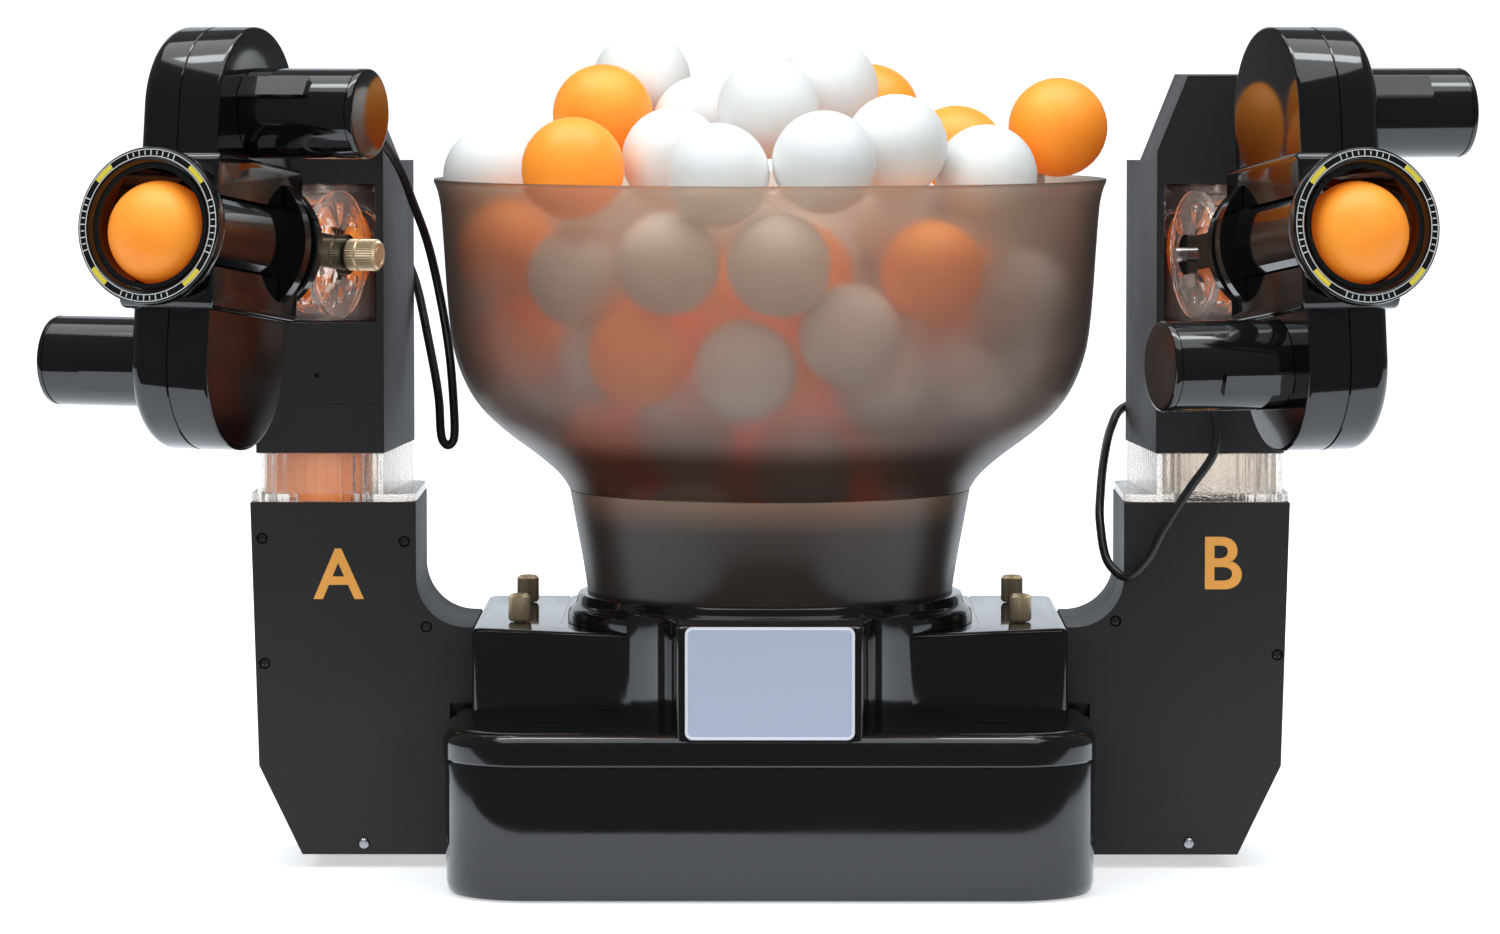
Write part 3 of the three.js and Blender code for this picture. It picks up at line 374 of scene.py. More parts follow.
def finished(name, bm, material, body, replaced=(), place=Matrix(), edge=0.0, steps=2,
             crease=32):
    """Scales a bmesh to metres and makes it a piece of the robot with rounded edges."""
    moved(bm, Matrix.Scale(MM, 4) @ place)
    bmesh.ops.remove_doubles(bm, verts=bm.verts, dist=0.01 * MM)
    mesh = bpy.data.meshes.new(name)
    bm.to_mesh(mesh)
    bm.free()
    mesh.materials.append(material)
    mesh.shade_smooth()
    mesh.set_sharp_from_angle(angle=math.radians(crease))
    piece = bpy.data.objects.new(name, mesh)
    scene.collection.objects.link(piece)
    if edge:
        bevel = piece.modifiers.new("round edges", "BEVEL")
        bevel.width = edge * MM
        bevel.segments = steps
        bevel.limit_method = "ANGLE"
        bevel.angle_limit = math.radians(crease)
        bevel.harden_normals = True
        bevel.use_clamp_overlap = True
    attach(piece, body)
    if replaced:
        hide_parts(*([replaced] if isinstance(replaced, str) else replaced))
    return piece


print("helpers ready")

# %% [markdown]
# Five effects come back in the finishes, so each is one shader group: gloss that changes over the
# surface, the grain of a moulded face, upright flutes, dust that settles on what faces up, and edges
# rubbed lighter. Each group only puts out a value or a mask, and a material uses it with its own numbers.

# %% Shader groups


def shader_group(name, inputs, output):
    """A group of number sockets, as its tree, its inputs inside and its output socket."""
    tree = bpy.data.node_groups.new(name, "ShaderNodeTree")
    for label, value in inputs.items():
        socket = tree.interface.new_socket(label, in_out="INPUT", socket_type="NodeSocketFloat")
        socket.default_value = value
    tree.interface.new_socket(output, in_out="OUTPUT", socket_type="NodeSocketFloat")
    return tree, tree.nodes.new("NodeGroupInput").outputs, tree.nodes.new("NodeGroupOutput").inputs[0]


def noise_in(tree, scale, detail=3.0):
    """A noise over the object's own coordinates whose scale is a socket of the group."""
    noise = add_node(tree, "TexNoise")
    feed(tree, noise.inputs["Vector"], add_node(tree, "TexCoord").outputs["Object"])
    feed(tree, noise.inputs["Scale"], scale)
    feed(tree, noise.inputs["Detail"], detail)
    return noise.outputs["Fac"]


uneven_gloss, entry, leave = shader_group("uneven gloss", {"Low": 0.1, "High": 0.3, "Scale": 12}, "Roughness")
noise = noise_in(uneven_gloss, entry["Scale"], 5.0)
feed(uneven_gloss, leave, range_in(uneven_gloss, noise, 0.3, 0.7, entry["Low"], entry["High"]))

grain_inputs = {"Scale": 1500, "Wave Scale": 14, "Wave Share": 0.2}
moulded_grain, entry, leave = shader_group("moulded grain", grain_inputs, "Height")
fine = noise_in(moulded_grain, entry["Scale"], 2.0)
wave = math_in(moulded_grain, "MULTIPLY", noise_in(moulded_grain, entry["Wave Scale"]), entry["Wave Share"])
feed(moulded_grain, leave, math_in(moulded_grain, "ADD", fine, wave))

flutes, entry, leave = shader_group("upright flutes", {"Scale": 1800}, "Height")
along = math_in(flutes, "ADD", own_axis(flutes, "X"), own_axis(flutes, "Y"))
ridges = math_in(flutes, "SINE", math_in(flutes, "MULTIPLY", along, entry["Scale"]))
specks = math_in(flutes, "MULTIPLY", noise_in(flutes, entry["Scale"], 1.0), 0.8)
feed(flutes, leave, math_in(flutes, "ADD", ridges, specks))

settled_dust, entry, leave = shader_group("settled dust", {"Amount": 0.2, "Scale": 60}, "Mask")
split = add_node(settled_dust, "SeparateXYZ")
feed(settled_dust, split.inputs[0], add_node(settled_dust, "NewGeometry").outputs["Normal"])
upward = math_in(settled_dust, "MAXIMUM", split.outputs["Z"], 0.0)
patches = math_in(settled_dust, "MULTIPLY", upward, noise_in(settled_dust, entry["Scale"], 6.0))
feed(settled_dust, leave, math_in(settled_dust, "MULTIPLY", patches, entry["Amount"]))

rubbed_edges, entry, leave = shader_group("rubbed edges", {"Amount": 0.4, "Scale": 90}, "Mask")
ridge = range_in(rubbed_edges, add_node(rubbed_edges, "NewGeometry").outputs["Pointiness"], 0.53, 0.62)
broken = math_in(rubbed_edges, "MULTIPLY", ridge, noise_in(rubbed_edges, entry["Scale"], 4.0))
feed(rubbed_edges, leave, math_in(rubbed_edges, "MULTIPLY", broken, entry["Amount"]))
print("shader groups", len(bpy.data.node_groups))

# %% [markdown]
# A finish is a Principled shader whose colour, roughness and bump come from those groups. The gloss
# black of the heads and the base, the satin black of the arms, the rubber and the paints only
# differ in their numbers, so one function makes them all.

# %% The opaque finishes
dust_grey = (0.32, 0.31, 0.3, 1)


def place_group(tree, group, **values):
    """Puts a shader group into a material's tree. An underscore stands for a space in a label."""
    node = add_node(tree, "Group", node_tree=group)
    set_sockets(node, {label.replace("_", " "): value for label, value in values.items()})
    return node.outputs[0]


def bumped(tree, shader, height, strength, distance):
    bump = add_node(tree, "Bump")
    set_sockets(bump, {"Strength": strength, "Distance": distance})
    feed(tree, bump.inputs["Height"], height)
    feed(tree, shader.inputs["Normal"], bump.outputs[0])


def finish(name, colour, gloss, grain, dust=0.2, wear=(0.3, 2.5), metal=0.0, coat=0.0, shine=0.5,
           wave=(14, 0.2)):
    """Gloss is a range, grain and wave a scale and a strength, and wear an amount and a lightening."""
    material, tree, shader = blank(name)
    set_sockets(shader, {"Metallic": metal, "Coat Weight": coat, "Coat Roughness": 0.06})
    shader.inputs["Specular IOR Level"].default_value = shine
    lighter = tuple(min(1.0, c * wear[1] + 0.01) for c in colour)
    worn = mix_in(tree, place_group(tree, rubbed_edges, Amount=wear[0]), (*colour, 1), (*lighter, 1))
    dusty = mix_in(tree, place_group(tree, settled_dust, Amount=dust), worn, dust_grey)
    feed(tree, shader.inputs["Base Color"], dusty)
    feed(tree, shader.inputs["Roughness"], place_group(tree, uneven_gloss, Low=gloss[0], High=gloss[1]))
    height = place_group(tree, moulded_grain, Scale=grain[0], Wave_Scale=wave[0], Wave_Share=wave[1])
    bumped(tree, shader, height, grain[1], 0.0003)
    return material


gloss_black = finish("gloss black plastic", (0.003, 0.003, 0.0034), (0.05, 0.12), (700, 0.02), 0.03,
                     (0.2, 3), coat=0.4, wave=(40, 3.0))
satin_black = finish("textured satin black plastic", (0.019, 0.0185, 0.019), (0.42, 0.56), (1700, 0.4),
                     0.06, (0.06, 3), shine=0.35)
rubber_black = finish("black rubber", (0.018, 0.018, 0.019), (0.5, 0.75), (900, 0.25), 0.12)
cable_black = finish("cable sheath", (0.012, 0.012, 0.013), (0.22, 0.4), (600, 0.1), 0.06)
panel_grey = finish("plain panel plate", (0.405, 0.45, 0.575), (0.3, 0.42), (2500, 0.08), 0.03, (0.1, 1.2))
panel_edge = finish("panel border", (0.72, 0.74, 0.8), (0.25, 0.4), (2500, 0.05), 0.05, (0.1, 1.1))
brass = finish("knurled brass", (0.92, 0.75, 0.52), (0.4, 0.55), (900, 0.15), 0.05, (0.5, 1.2), 0.85)
steel = finish("plated screw steel", (0.5, 0.5, 0.52), (0.2, 0.35), (1200, 0.1), 0.0, (0.2, 1.2), 1.0)
letter_paint = finish("ochre letter paint", (0.9, 0.4, 0.075), (0.4, 0.5), (1700, 0.3), 0.0, (0.1, 1.2))
yellow_paint = finish("yellow mark paint", (0.75, 0.62, 0.05), (0.35, 0.45), (1700, 0.1), 0.0, (0.1, 1.2))
white_paint = finish("white mark paint", (0.62, 0.63, 0.63), (0.35, 0.45), (1700, 0.1), 0.0, (0.1, 1.2))
nylon = finish("natural nylon", (0.62, 0.6, 0.53), (0.4, 0.5), (800, 0.1), 0.0)
tyre_rubber = finish("brick rubber", (0.32, 0.075, 0.03), (0.45, 0.65), (1100, 0.3), 0.05, (0.3, 1.4))
print("opaque finishes", len(bpy.data.materials))

# %% [markdown]
# The bowl is a smoky brown moulding with a frosted skin: balls that touch the wall show through it
# softly and deeper ones fade. A rough transmission with a brown tint does that by itself. Its tint also
# carries painted shade, darker low down, and a painted highlight band on its low turn. The neck is the
# same plastic, thicker and darker, with painted shade low down. The clear pieces are polished, one fluted
# by its mould.

# %% The see-through finishes


def see_through(name, colour, gloss, passing, bend, grain=(300, 0.03), light=0.8, fluted=False):
    """A share of the lamps' light goes straight through, since the plastic is clear to them too."""
    material, tree, shader = blank(name)
    set_sockets(shader, {"Base Color": (*colour, 1), "Transmission Weight": passing, "IOR": bend})
    gloss_value = place_group(tree, uneven_gloss, Low=gloss[0], High=gloss[1], Scale=25)
    feed(tree, shader.inputs["Roughness"], gloss_value)
    if fluted:
        height = place_group(tree, flutes, Scale=grain[0])
    else:
        height = place_group(tree, moulded_grain, Scale=grain[0], Wave_Share=0.0)
    bumped(tree, shader, height, grain[1], 0.0005)
    in_shadow = add_node(tree, "LightPath").outputs["Is Shadow Ray"]
    feed(tree, shader.inputs["Alpha"], math_in(tree, "MULTIPLY_ADD", in_shadow, -light, 1.0))
    return material


def smoky_tint_and_painted_shade(material, stops, edge, edge_blend):
    """Colours a smoky wall by its height, with painted shade that darkens it low down, where less light
    reaches, and painted light that brightens a band on its low turn and its top. It is also darker where it
    is seen on edge through more plastic.
    """
    tree = material.node_tree
    low, high = stops[0][0], stops[-1][0]
    ramp = add_node(tree, "ValToRGB")
    feed(tree, ramp.inputs[0], range_in(tree, own_axis(tree, "Z"), low, high))
    while len(ramp.color_ramp.elements) < len(stops):
        ramp.color_ramp.elements.new(0.5)
    for element, (height, colour) in zip(ramp.color_ramp.elements, stops):
        element.position = (height - low) / (high - low)
        element.color = (*colour, 1)
    weight = add_node(tree, "LayerWeight")
    weight.inputs["Blend"].default_value = edge_blend
    mixed = mix_in(tree, weight.outputs["Facing"], ramp.outputs[0], (*edge, 1))
    feed(tree, tree.nodes["Principled BSDF"].inputs["Base Color"], mixed)


# Painted shade by height: both walls darken low down. Painted light brightens the bowl's low turn and rim,
# and the neck's top.
bowl_painted_shade_stops = [(0.151, (0.16, 0.125, 0.105)), (0.167, (0.24, 0.19, 0.165)), (0.176, (0.7, 0.61, 0.57)),
              (0.2, (0.54, 0.45, 0.4)), (0.245, (0.58, 0.46, 0.385)), (0.275, (0.76, 0.61, 0.5))]
neck_painted_shade_stops = [(0.098, (0.06, 0.05, 0.044)), (0.138, (0.09, 0.073, 0.063)), (0.151, (0.4, 0.25, 0.17))]
smoke_bowl = see_through("frosted smoke bowl", (0.5, 0.4, 0.35), (0.29, 0.34), 0.84, 1.22, light=0.5)
smoky_tint_and_painted_shade(smoke_bowl, bowl_painted_shade_stops, (0.035, 0.022, 0.017), 0.42)
smoke_neck = see_through("thick smoke neck", (0.1, 0.08, 0.07), (0.29, 0.36), 0.45, 1.4, light=0.1)
smoky_tint_and_painted_shade(smoke_neck, neck_painted_shade_stops, (0.03, 0.024, 0.021), 0.3)
clear_plastic = see_through("clear plastic", (0.92, 0.88, 0.84), (0.0, 0.06), 0.96, 1.4, (1500, 0.35), 0.85,
                            fluted=True)
clear_elbow = see_through("clear elbow plastic", (1.0, 0.9, 0.85), (0.02, 0.08), 0.93, 1.45, (160, 0.1), 0.9)


def celluloid(name, colour, scuffed, painted_glow):
    """A matt ball. A painted glow, a weak steady emission, brightens an orange ball everywhere as if more
    light reached it.
    """
    material, tree, shader = blank(name)
    scuff = place_group(tree, uneven_gloss, Low=0.0, High=1.0, Scale=60)
    feed(tree, shader.inputs["Base Color"], mix_in(tree, scuff, (*colour, 1), (*scuffed, 1)))
    feed(tree, shader.inputs["Roughness"], place_group(tree, uneven_gloss, Low=0.38, High=0.55, Scale=30))
    # Painted glow: a steady emission lights the ball though it is no lamp.
    set_sockets(shader, {"Emission Color": (*painted_glow, 1), "Emission Strength": 0.22})
    set_sockets(shader, {"Subsurface Weight": 0.12, "Subsurface Radius": (0.01, 0.006, 0.004)})
    bumped(tree, shader, place_group(tree, moulded_grain, Scale=1400), 0.1, 0.0002)
    return material


# The last colour is the painted glow. The white balls get none.
ball_orange = celluloid("orange celluloid", (0.99, 0.33, 0.03), (1.0, 0.41, 0.045), (1.0, 0.12, 0.0))
ball_white = celluloid("white celluloid", (0.8, 0.82, 0.81), (0.84, 0.86, 0.85), (0.0, 0.0, 0.0))
celluloids = {"O": ball_orange, "W": ball_white}
print("finishes", len(bpy.data.materials))

# %% [markdown]
# The balls are the machine's load: light celluloid spheres of 40 mm, orange and white mixed. Those that
# the photograph shows keep their places, and the rest fill the bowl behind them. A short relaxation
# from a seeded start pushes overlapping balls apart and keeps them off the wall, as shaking would.

# %% The bowl's shape in numbers
bowl_wall = 3.0
neck_inside = [(69.5, 98.3), (69.5, 110.0)]
bowl_outside = [(80, 151.3), (83.5, 157), (92.6, 165), (106, 174.5), (117, 185), (124, 198), (128, 214),
                (131, 262), (132.2, 269), (133.3, 272.3), (134, 273.6), (134, 275)]
bowl_inside = []
for i, (r, z) in enumerate(bowl_outside[:8]):
    bowl_inside.append((r - bowl_wall, z + bowl_wall * (1 - i / 7) if i else z))
bowl_inside += [(r - bowl_wall + 0.4, z) for r, z in bowl_outside[8:10]] + [(131.2, 274.2), (132.2, 275)]


def inner_radius(height):
    """The bowl's or neck's inner radius at a height."""
    inside = neck_inside + bowl_inside
    for (r0, z0), (r1, z1) in zip(inside, inside[1:]):
        if z0 <= height <= z1 and z1 > z0:
            return r0 + (r1 - r0) * (height - z0) / (z1 - z0)
    return inside[-1][0] if height > inside[-1][1] else inside[0][0]


print("bowl points", len(bowl_outside), len(bowl_inside))

# %% Where the balls rest
ball_radius = 20.0
drawn_radius = 19.9


def at_pixel(px, py, depth):
    """The point that shows at a pixel of the photograph, at a given Y in mm."""
    far = camera_distance / MM + depth
    across = (px - axis_px) * far / focal_px
    return Vector((across, depth, camera_height / MM - (py - horizon_px) * far / focal_px))


shown = [
    ("O", 573, 168, -80), ("W", 717.5, 174.4, -106), ("W", 824, 162, -105), ("W", 986, 175, -56),
    ("O", 604, 114, -4), ("W", 642, 80, 36), ("W", 488, 175, -5), ("W", 673, 158, -60), ("W", 701, 125, 2),
    ("W", 768, 108, -52), ("W", 828, 88, -8), ("O", 870, 113, 28), ("W", 896, 145, -71), ("O", 956, 155, -4),
    ("O", 1055, 129, 14), ("W", 998, 178, 36), ("O", 932, 271.5, -86), ("W", 668.5, 263.7, -97),
    ("W", 779, 265, -106), ("W", 580, 276, -66), ("W", 850, 335, -95), ("W", 745, 370, -90),
    ("O", 640, 355, -79), ("O", 512, 252, -31), ("O", 528, 335, -10), ("W", 1020, 300, -38),
    ("W", 900, 222, -43),
]
rim_room, rim_height = 131.0, 275.0
disc_floor, cone_floor, cone_reach = 141.0, 151.0, 30.0
wall_gap, ball_gap = 0.6, 0.3
held_share = 0.02
contact_angles = [math.radians(angle) for angle in (0, 20, 38, 55, 70)]


def push_inside(point):
    """Moves a ball's centre inside the bowl and above the feed disc. Over the rim it may lean out."""
    over = point.z - rim_height
    if over > 0:
        room = rim_room - math.sqrt(max(0.0, (ball_radius + wall_gap) ** 2 - over ** 2))
    else:
        rooms = []
        for a in contact_angles:
            rooms.append(inner_radius(point.z - ball_radius * math.sin(a)) - ball_radius * math.cos(a))
        room = max(min(rooms) - wall_gap, 1.0)
    across = math.hypot(point.x, point.y)
    if across > room:
        point.x *= room / across
        point.y *= room / across
    on_cone = math.hypot(point.x, point.y) < cone_reach
    point.z = max(point.z, cone_floor if on_cone else disc_floor)


def relax(centres, held, rounds=260):
    """Pushes balls apart until none overlap. Held ones give way less."""
    for _ in range(rounds):
        for i, a in enumerate(centres):
            for j in range(i + 1, len(centres)):
                b = centres[j]
                gap = b - a
                lack = 2 * ball_radius + ball_gap - gap.length
                if lack <= 0:
                    continue
                way = gap.normalized() if gap.length > 1e-6 else Vector((0, 0, 1))
                share = 0.5 if held[i] == held[j] else (held_share if held[i] else 1 - held_share)
                a -= way * lack * share
                b += way * lack * (1 - share)
        for point in centres:
            push_inside(point)


seeds = random.Random(7)
layers, layer_spread = (136, 168, 200, 232), 8
layer_fill, layer_edge, seed_edge, crowding = 0.62, 14, 22, 1.25
orange_share = 0.34
colours = [colour for colour, *_ in shown]
centres = [at_pixel(px, py, depth) for _, px, py, depth in shown]
held = [True] * len(centres)
for height in layers:
    count = max(1, int((inner_radius(height) - layer_edge) ** 2 / ball_radius ** 2 * layer_fill))
    for _ in range(count):
        angle = seeds.uniform(0, 2 * math.pi)
        reach = math.sqrt(seeds.uniform(0, 1)) * (inner_radius(height) - seed_edge)
        rise = height + seeds.uniform(-layer_spread, layer_spread)
        candidate = Vector((reach * math.cos(angle), reach * math.sin(angle), rise))
        if min((candidate - other).length for other in centres) > ball_radius * crowding:
            centres.append(candidate)
            held.append(False)
            colours.append("O" if seeds.random() < orange_share else "W")
relax(centres, held)
worst = min((a - b).length for i, a in enumerate(centres) for b in centres[i + 1:])
print("balls in the bowl", len(centres), "closest pair", round(worst, 2))

# %% [markdown]
# The base is two glossy mouldings: a deep tray and a cover that closes it, with a parting line between.
# Both are stacks of one outline drawn at several heights and pulled in a little where an edge is
# rounded, so the rounding runs evenly round every corner. A bevel could do it, but it breaks where
# the side blocks sweep into the nose.

# %% Stacked outlines


def loft(rings):
    """Skins a stack of equal outlines and caps its two ends."""
    bm = bmesh.new()
    rows = [[bm.verts.new(point) for point in ring] for ring in rings]
    count = len(rows[0])
    for low, high in zip(rows, rows[1:]):
        for i in range(count):
            j = (i + 1) % count
            bm.faces.new((low[i], low[j], high[j], high[i]))
    bm.faces.new(rows[0])
    bm.faces.new(rows[-1])
    bmesh.ops.recalc_face_normals(bm, faces=bm.faces)
    return bm


def level(points, z):
    return [(x, y, z) for x, y in points]


def round_over(edge, steps=6):
    """How far an outline pulls in, and how far below the top it is, over a rounded edge."""
    angles = [math.radians(90 * i / steps) for i in range(steps + 1)]
    return [(edge - edge * math.cos(a), edge - edge * math.sin(a)) for a in angles]


# %% The tray
tray_half = (127.0, 117.0)
tray_corner = 34.0
way_x, way_y, duct_z = 179, 10, 70
outlet_x = math.sqrt(45 ** 2 - way_y ** 2)
way_radius, tube_radius, way_room = 20.4, 21.8, 22.1


def tray_ring(inset, z):
    x, y = tray_half
    return level(rounded((-x + inset, x - inset), (-y + inset, y - inset), tray_corner - inset, 24), z)


def duct_rod(sign):
    """The room for a ball's level way from the bowl's outlet to an arm."""
    return rod(way_room, (sign * outlet_x, way_y, duct_z), (sign * way_x, way_y, duct_z), 48)


tray_steps = [(5, 0), (3, 0.6), (1.9, 2), (1.3, 5), (0.5, 51), (0.8, 52), (3.5, 52), (3.5, 3)]
tray_shell = loft([tray_ring(inset, z) for inset, z in tray_steps])
motor_stand = rod(22, (0, 30, 1), (0, 30, 8.7))
inlet_port = rod(6.3, (60, 105, 40), (60, 119, 40))
tray_mesh = cut(join(tray_shell, motor_stand), duct_rod(-1), duct_rod(1), inlet_port)
tray = finished("tray", tray_mesh, gloss_black, "base", "base_tray")
print("tray faces", len(tray.data.polygons))

# %% The cover's outline
deck_top = 98.0
nose_top = 107.0
parting = 52.3


def body_half(inset, tip_round=2.5, back_round=5.0):
    """The right half of the cover's upper outline, from the back to the nose."""
    side, nose = 118 - inset, 36 - inset
    points = arc((side - back_round, 110 - inset - back_round), back_round, 90, 0, 6)
    points += arc((side - 4, -36 + inset + 4), 4, 0, -70, 6)
    start, bend, end = (66, -57 + inset), (40 - inset, -70 + inset), (nose, -94)
    for i in range(17):
        t = i / 16
        x = (1 - t) ** 2 * start[0] + 2 * t * (1 - t) * bend[0] + t * t * end[0]
        y = (1 - t) ** 2 * start[1] + 2 * t * (1 - t) * bend[1] + t * t * end[1]
        points.append((x, y))
    points += arc((nose - tip_round, -116 + inset + tip_round), tip_round, 0, -90, 5)
    return points


def body_ring(inset, z):
    half = body_half(inset)
    return level(half + [(-x, y) for x, y in reversed(half)], z)


# %% The cover
band_top, band_edge = 65, 6.0
wall = 3.5
screw_places = {"front_a": (-100, -8), "front_b": (100, -8), "back_a": (-100, 77), "back_b": (100, 77)}
band_rings = [tray_ring(wall, parting), tray_ring(0.7, parting), tray_ring(0, parting + 0.8)]
band_rings += [tray_ring(inset, band_top - drop) for inset, drop in round_over(band_edge)]
upper_rings = [body_ring(0, 58)] + [body_ring(inset, deck_top - drop) for inset, drop in round_over(2.6)]
brow_rings = [body_ring(0, 60)] + [body_ring(inset, nose_top - drop) for inset, drop in round_over(2.2)]
brow = cut(loft(brow_rings), block((-130, 130), (-63, 130), (50, 120)))
shell = join(loft(band_rings), loft(upper_rings), brow)
hollow = loft([tray_ring(wall, 50), tray_ring(wall, 61)])
inside = loft([body_ring(3, 50), body_ring(3, 95)])
seat_room = rod(81.3, (0, 0, deck_top), (0, 0, 120), 96)
outlets, slots, seams = [], [], []
for sign in (-1, 1):
    outlets.append(rod(way_radius, (sign * outlet_x, way_y, 90), (sign * outlet_x, way_y, 100)))
    slots.append(block((sign * 87 - 6.5, sign * 87 + 6.5), (-77.5, -74.5), (63.6, 70)))
    seams.append(block((sign * 83 - 0.4, sign * 83 + 0.4), (-16, 120), (97.2, 100)))
threads = [rod(2.3, (x, y, 90), (x, y, 100), 32) for x, y in screw_places.values()]
openings = [*outlets, duct_rod(-1), duct_rod(1), *slots, *seams, *threads]
cover_mesh = cut(shell, hollow, inside, seat_room, *openings)
cover = finished("cover", cover_mesh, gloss_black, "base", "base_cover", crease=28)
print("cover faces", len(cover.data.polygons))

# %% [markdown]
# The bright plate on the nose is a plain pale sheet with round corners and a lighter raised border. The
# seat ring is a turned collar that the bowl's neck drops into, with one soft shoulder.

# %% The plate and the seat ring
plate_x = (-32.5, 32.5)
plate_z = (63.0, 106.4)
plate_back = -116.3


def plate_stack(steps):
    """Skins plates of the given inset and Y, one over the other."""
    rings = []
    for inset, y in steps:
        x, z = ((low + inset, high - inset) for low, high in (plate_x, plate_z))
        rings.append([(u, y, v) for u, v in rounded(x, z, 3.0 - inset, 8)])
    return loft(rings)


border = plate_stack([(0, plate_back), (0, -117.4), (0.15, -117.75), (0.5, -117.9), (0.9, -117.9),
                      (1.2, -117.6), (1.2, plate_back)])
finished("panel_border", border, panel_edge, "base")
face = plate_stack([(1.2, plate_back), (1.2, -117.5), (1.35, -117.6)])
finished("panel_face", face, panel_grey, "base", "control_panel")
seat_profile = [(72.8, 98.3), (81, 98.3), (81, 101.2)] + arc((76.5, 101.2), 4.5, 0, 60, 6)
seat_profile += [(77.6, 106.6), (77.2, 108.6), (76.6, 109.6), (75.6, 110), (73.2, 110), (72.8, 109.6)]
finished("seat_ring_turned", revolve(seat_profile, 128), gloss_black, "base", "seat_ring")
print("plate and seat ring")

# %% [markdown]
# Four knurled brass thumb screws hold the arms to the base. A knurl is a ring of small ridges, so the
# knob's outline alternates between two radii, and its crown is chamfered and has a shallow centre.

# %% The thumb screws


def knurled(radius, low, high, ridges=36, depth=0.32, crown=0.7):
    """An upright knurled knob with a chamfered crown."""
    steps = ridges * 4
    angles = [i * 2 * math.pi / steps for i in range(steps)]
    waves = [radius - depth * (0.5 - 0.5 * math.cos(ridges * a)) for a in angles]
    rings = []
    for pull, z in ((0.9, low), (0.35, low + 0.5), (0, low + 1.0), (0, high - 1.2), (0.5, high - crown),
                    (1.1, high)):
        reach = [wave - pull for wave in waves]
        rings.append([(r * math.cos(a), r * math.sin(a), z) for r, a in zip(reach, angles)])
    return loft(rings)


for name, (x, y) in screw_places.items():
    dimple = rod(2.2, (0, 0, 108.6), (0, 0, 111), 32)
    shank = rod(2, (0, 0, 93), (0, 0, 100), 32)
    knob = join(cut(knurled(4.5, 98.3, 109.3), dimple), shank)
    part = f"thumb_screw_{name}"
    finished(f"screw_{name}", knob, brass, part, part, place=Matrix.Translation((x, y, 0)))
print("thumb screws", len(screw_places))

# %% [markdown]
# The bowl and its neck are vacuum formed and turned in shape: a straight smoky wall, a soft turn in at
# the bottom and a thin lip rolled out at the rim. A turned profile with real thickness gives the dark
# line where the plastic is seen on edge.

# %% The bowl and the neck


def softened(profile):
    """Cuts the corners of an open profile twice so that it turns evenly."""
    for _ in range(2):
        fresh = [profile[0]]
        for (r0, z0), (r1, z1) in zip(profile, profile[1:]):
            for t in (0.25, 0.75):
                fresh.append(((1 - t) * r0 + t * r1, (1 - t) * z0 + t * z1))
        profile = fresh + [profile[-1]]
    return profile


bowl_profile = softened(bowl_outside) + softened(list(reversed(bowl_inside)))
bowl = finished("bowl_wall", revolve(bowl_profile, 192), smoke_bowl, "hopper", "bowl", crease=50)
neck_low, neck_high, neck_bend = 98.3, 151, 110
neck_profile = [(72.5, neck_low)] + softened([(72.5, 99.5), (72.5, neck_bend), (80, neck_high)])[1:]
neck_profile += [(77, neck_high)] + softened([(77, neck_high), (69.5, neck_bend), (69.5, 99.5)])[1:]
neck_mesh = revolve(neck_profile + [(69.5, neck_low)], 160)
neck = finished("neck_wall", neck_mesh, smoke_neck, "hopper", "bowl_neck", crease=50)
print("bowl faces", len(bowl.data.polygons), "neck faces", len(neck.data.polygons))

# %% [markdown]
# Each ball is a sphere, drawn a hair smaller than the relaxation took it to be, so that ball and ball
# never cross.

# %% The balls in the bowl
for i, (colour, centre) in enumerate(zip(colours, centres)):
    finished(f"ball_{i:02d}", ball_mesh(drawn_radius, centre), celluloids[colour], "hopper")
print("balls", len(centres))

# %% [markdown]
# Each arm is a boxy casing in two halves that meet on a seam, a clear block that shows the ball on its
# way up, and a column with a recess for the head. The arms mirror each other, so each piece is drawn
# once for the right arm and turned over for the left. Its fine moulded texture is in the finish, and
# the edges get a small bevel that catches the light.

# %% The casings
arm_signs = {"a": -1, "b": 1}
front_face = -15.0
seam_y, back_face = 25, 65
seam_half = 0.15
casing_wall = 2.4


def arm_place(sign):
    return Matrix.Scale(-1, 4, (1, 0, 0)) if sign < 0 else Matrix()


def casing_outline(inset=0.0):
    inner, top = 141 + inset, 96.5 - inset
    points = [(127.6 + inset, 5 + inset), (187 - inset / 2, 5 + inset), (204 - inset, 41)]
    points += [(207 - inset, 146.3 - inset), (inner, 146.3 - inset)]
    points += arc((inner - 20, top + 20), 20, 0, -90, 16)
    return points + [(118.3 + inset, top), (118.3 + inset, 66 + inset), (127.6 + inset, 66 + inset)]


def face_point(px, py, depth=front_face):
    """Where a pixel of the photograph meets the arms' front face, as X and Z."""
    point = at_pixel(px, py, depth)
    return point.x, point.z


screw_pixels = {
    "a": [(258, 539), (403, 542), (425, 628), (262, 665), (361, 851)],
    "b": [(1117, 622), (1284, 656), (1192, 847)],
}


def ball_way():
    return [duct_rod(1), rod(way_room, (way_x, way_y, duct_z), (way_x, way_y, 150), 48)]


def face_holes(radius, places, steps):
    """Tools that sink a hole into an arm's front face at each X and Z."""
    return [rod(radius, (x, front_face - 2, z), (x, front_face + 2.2, z), steps) for x, z in places]


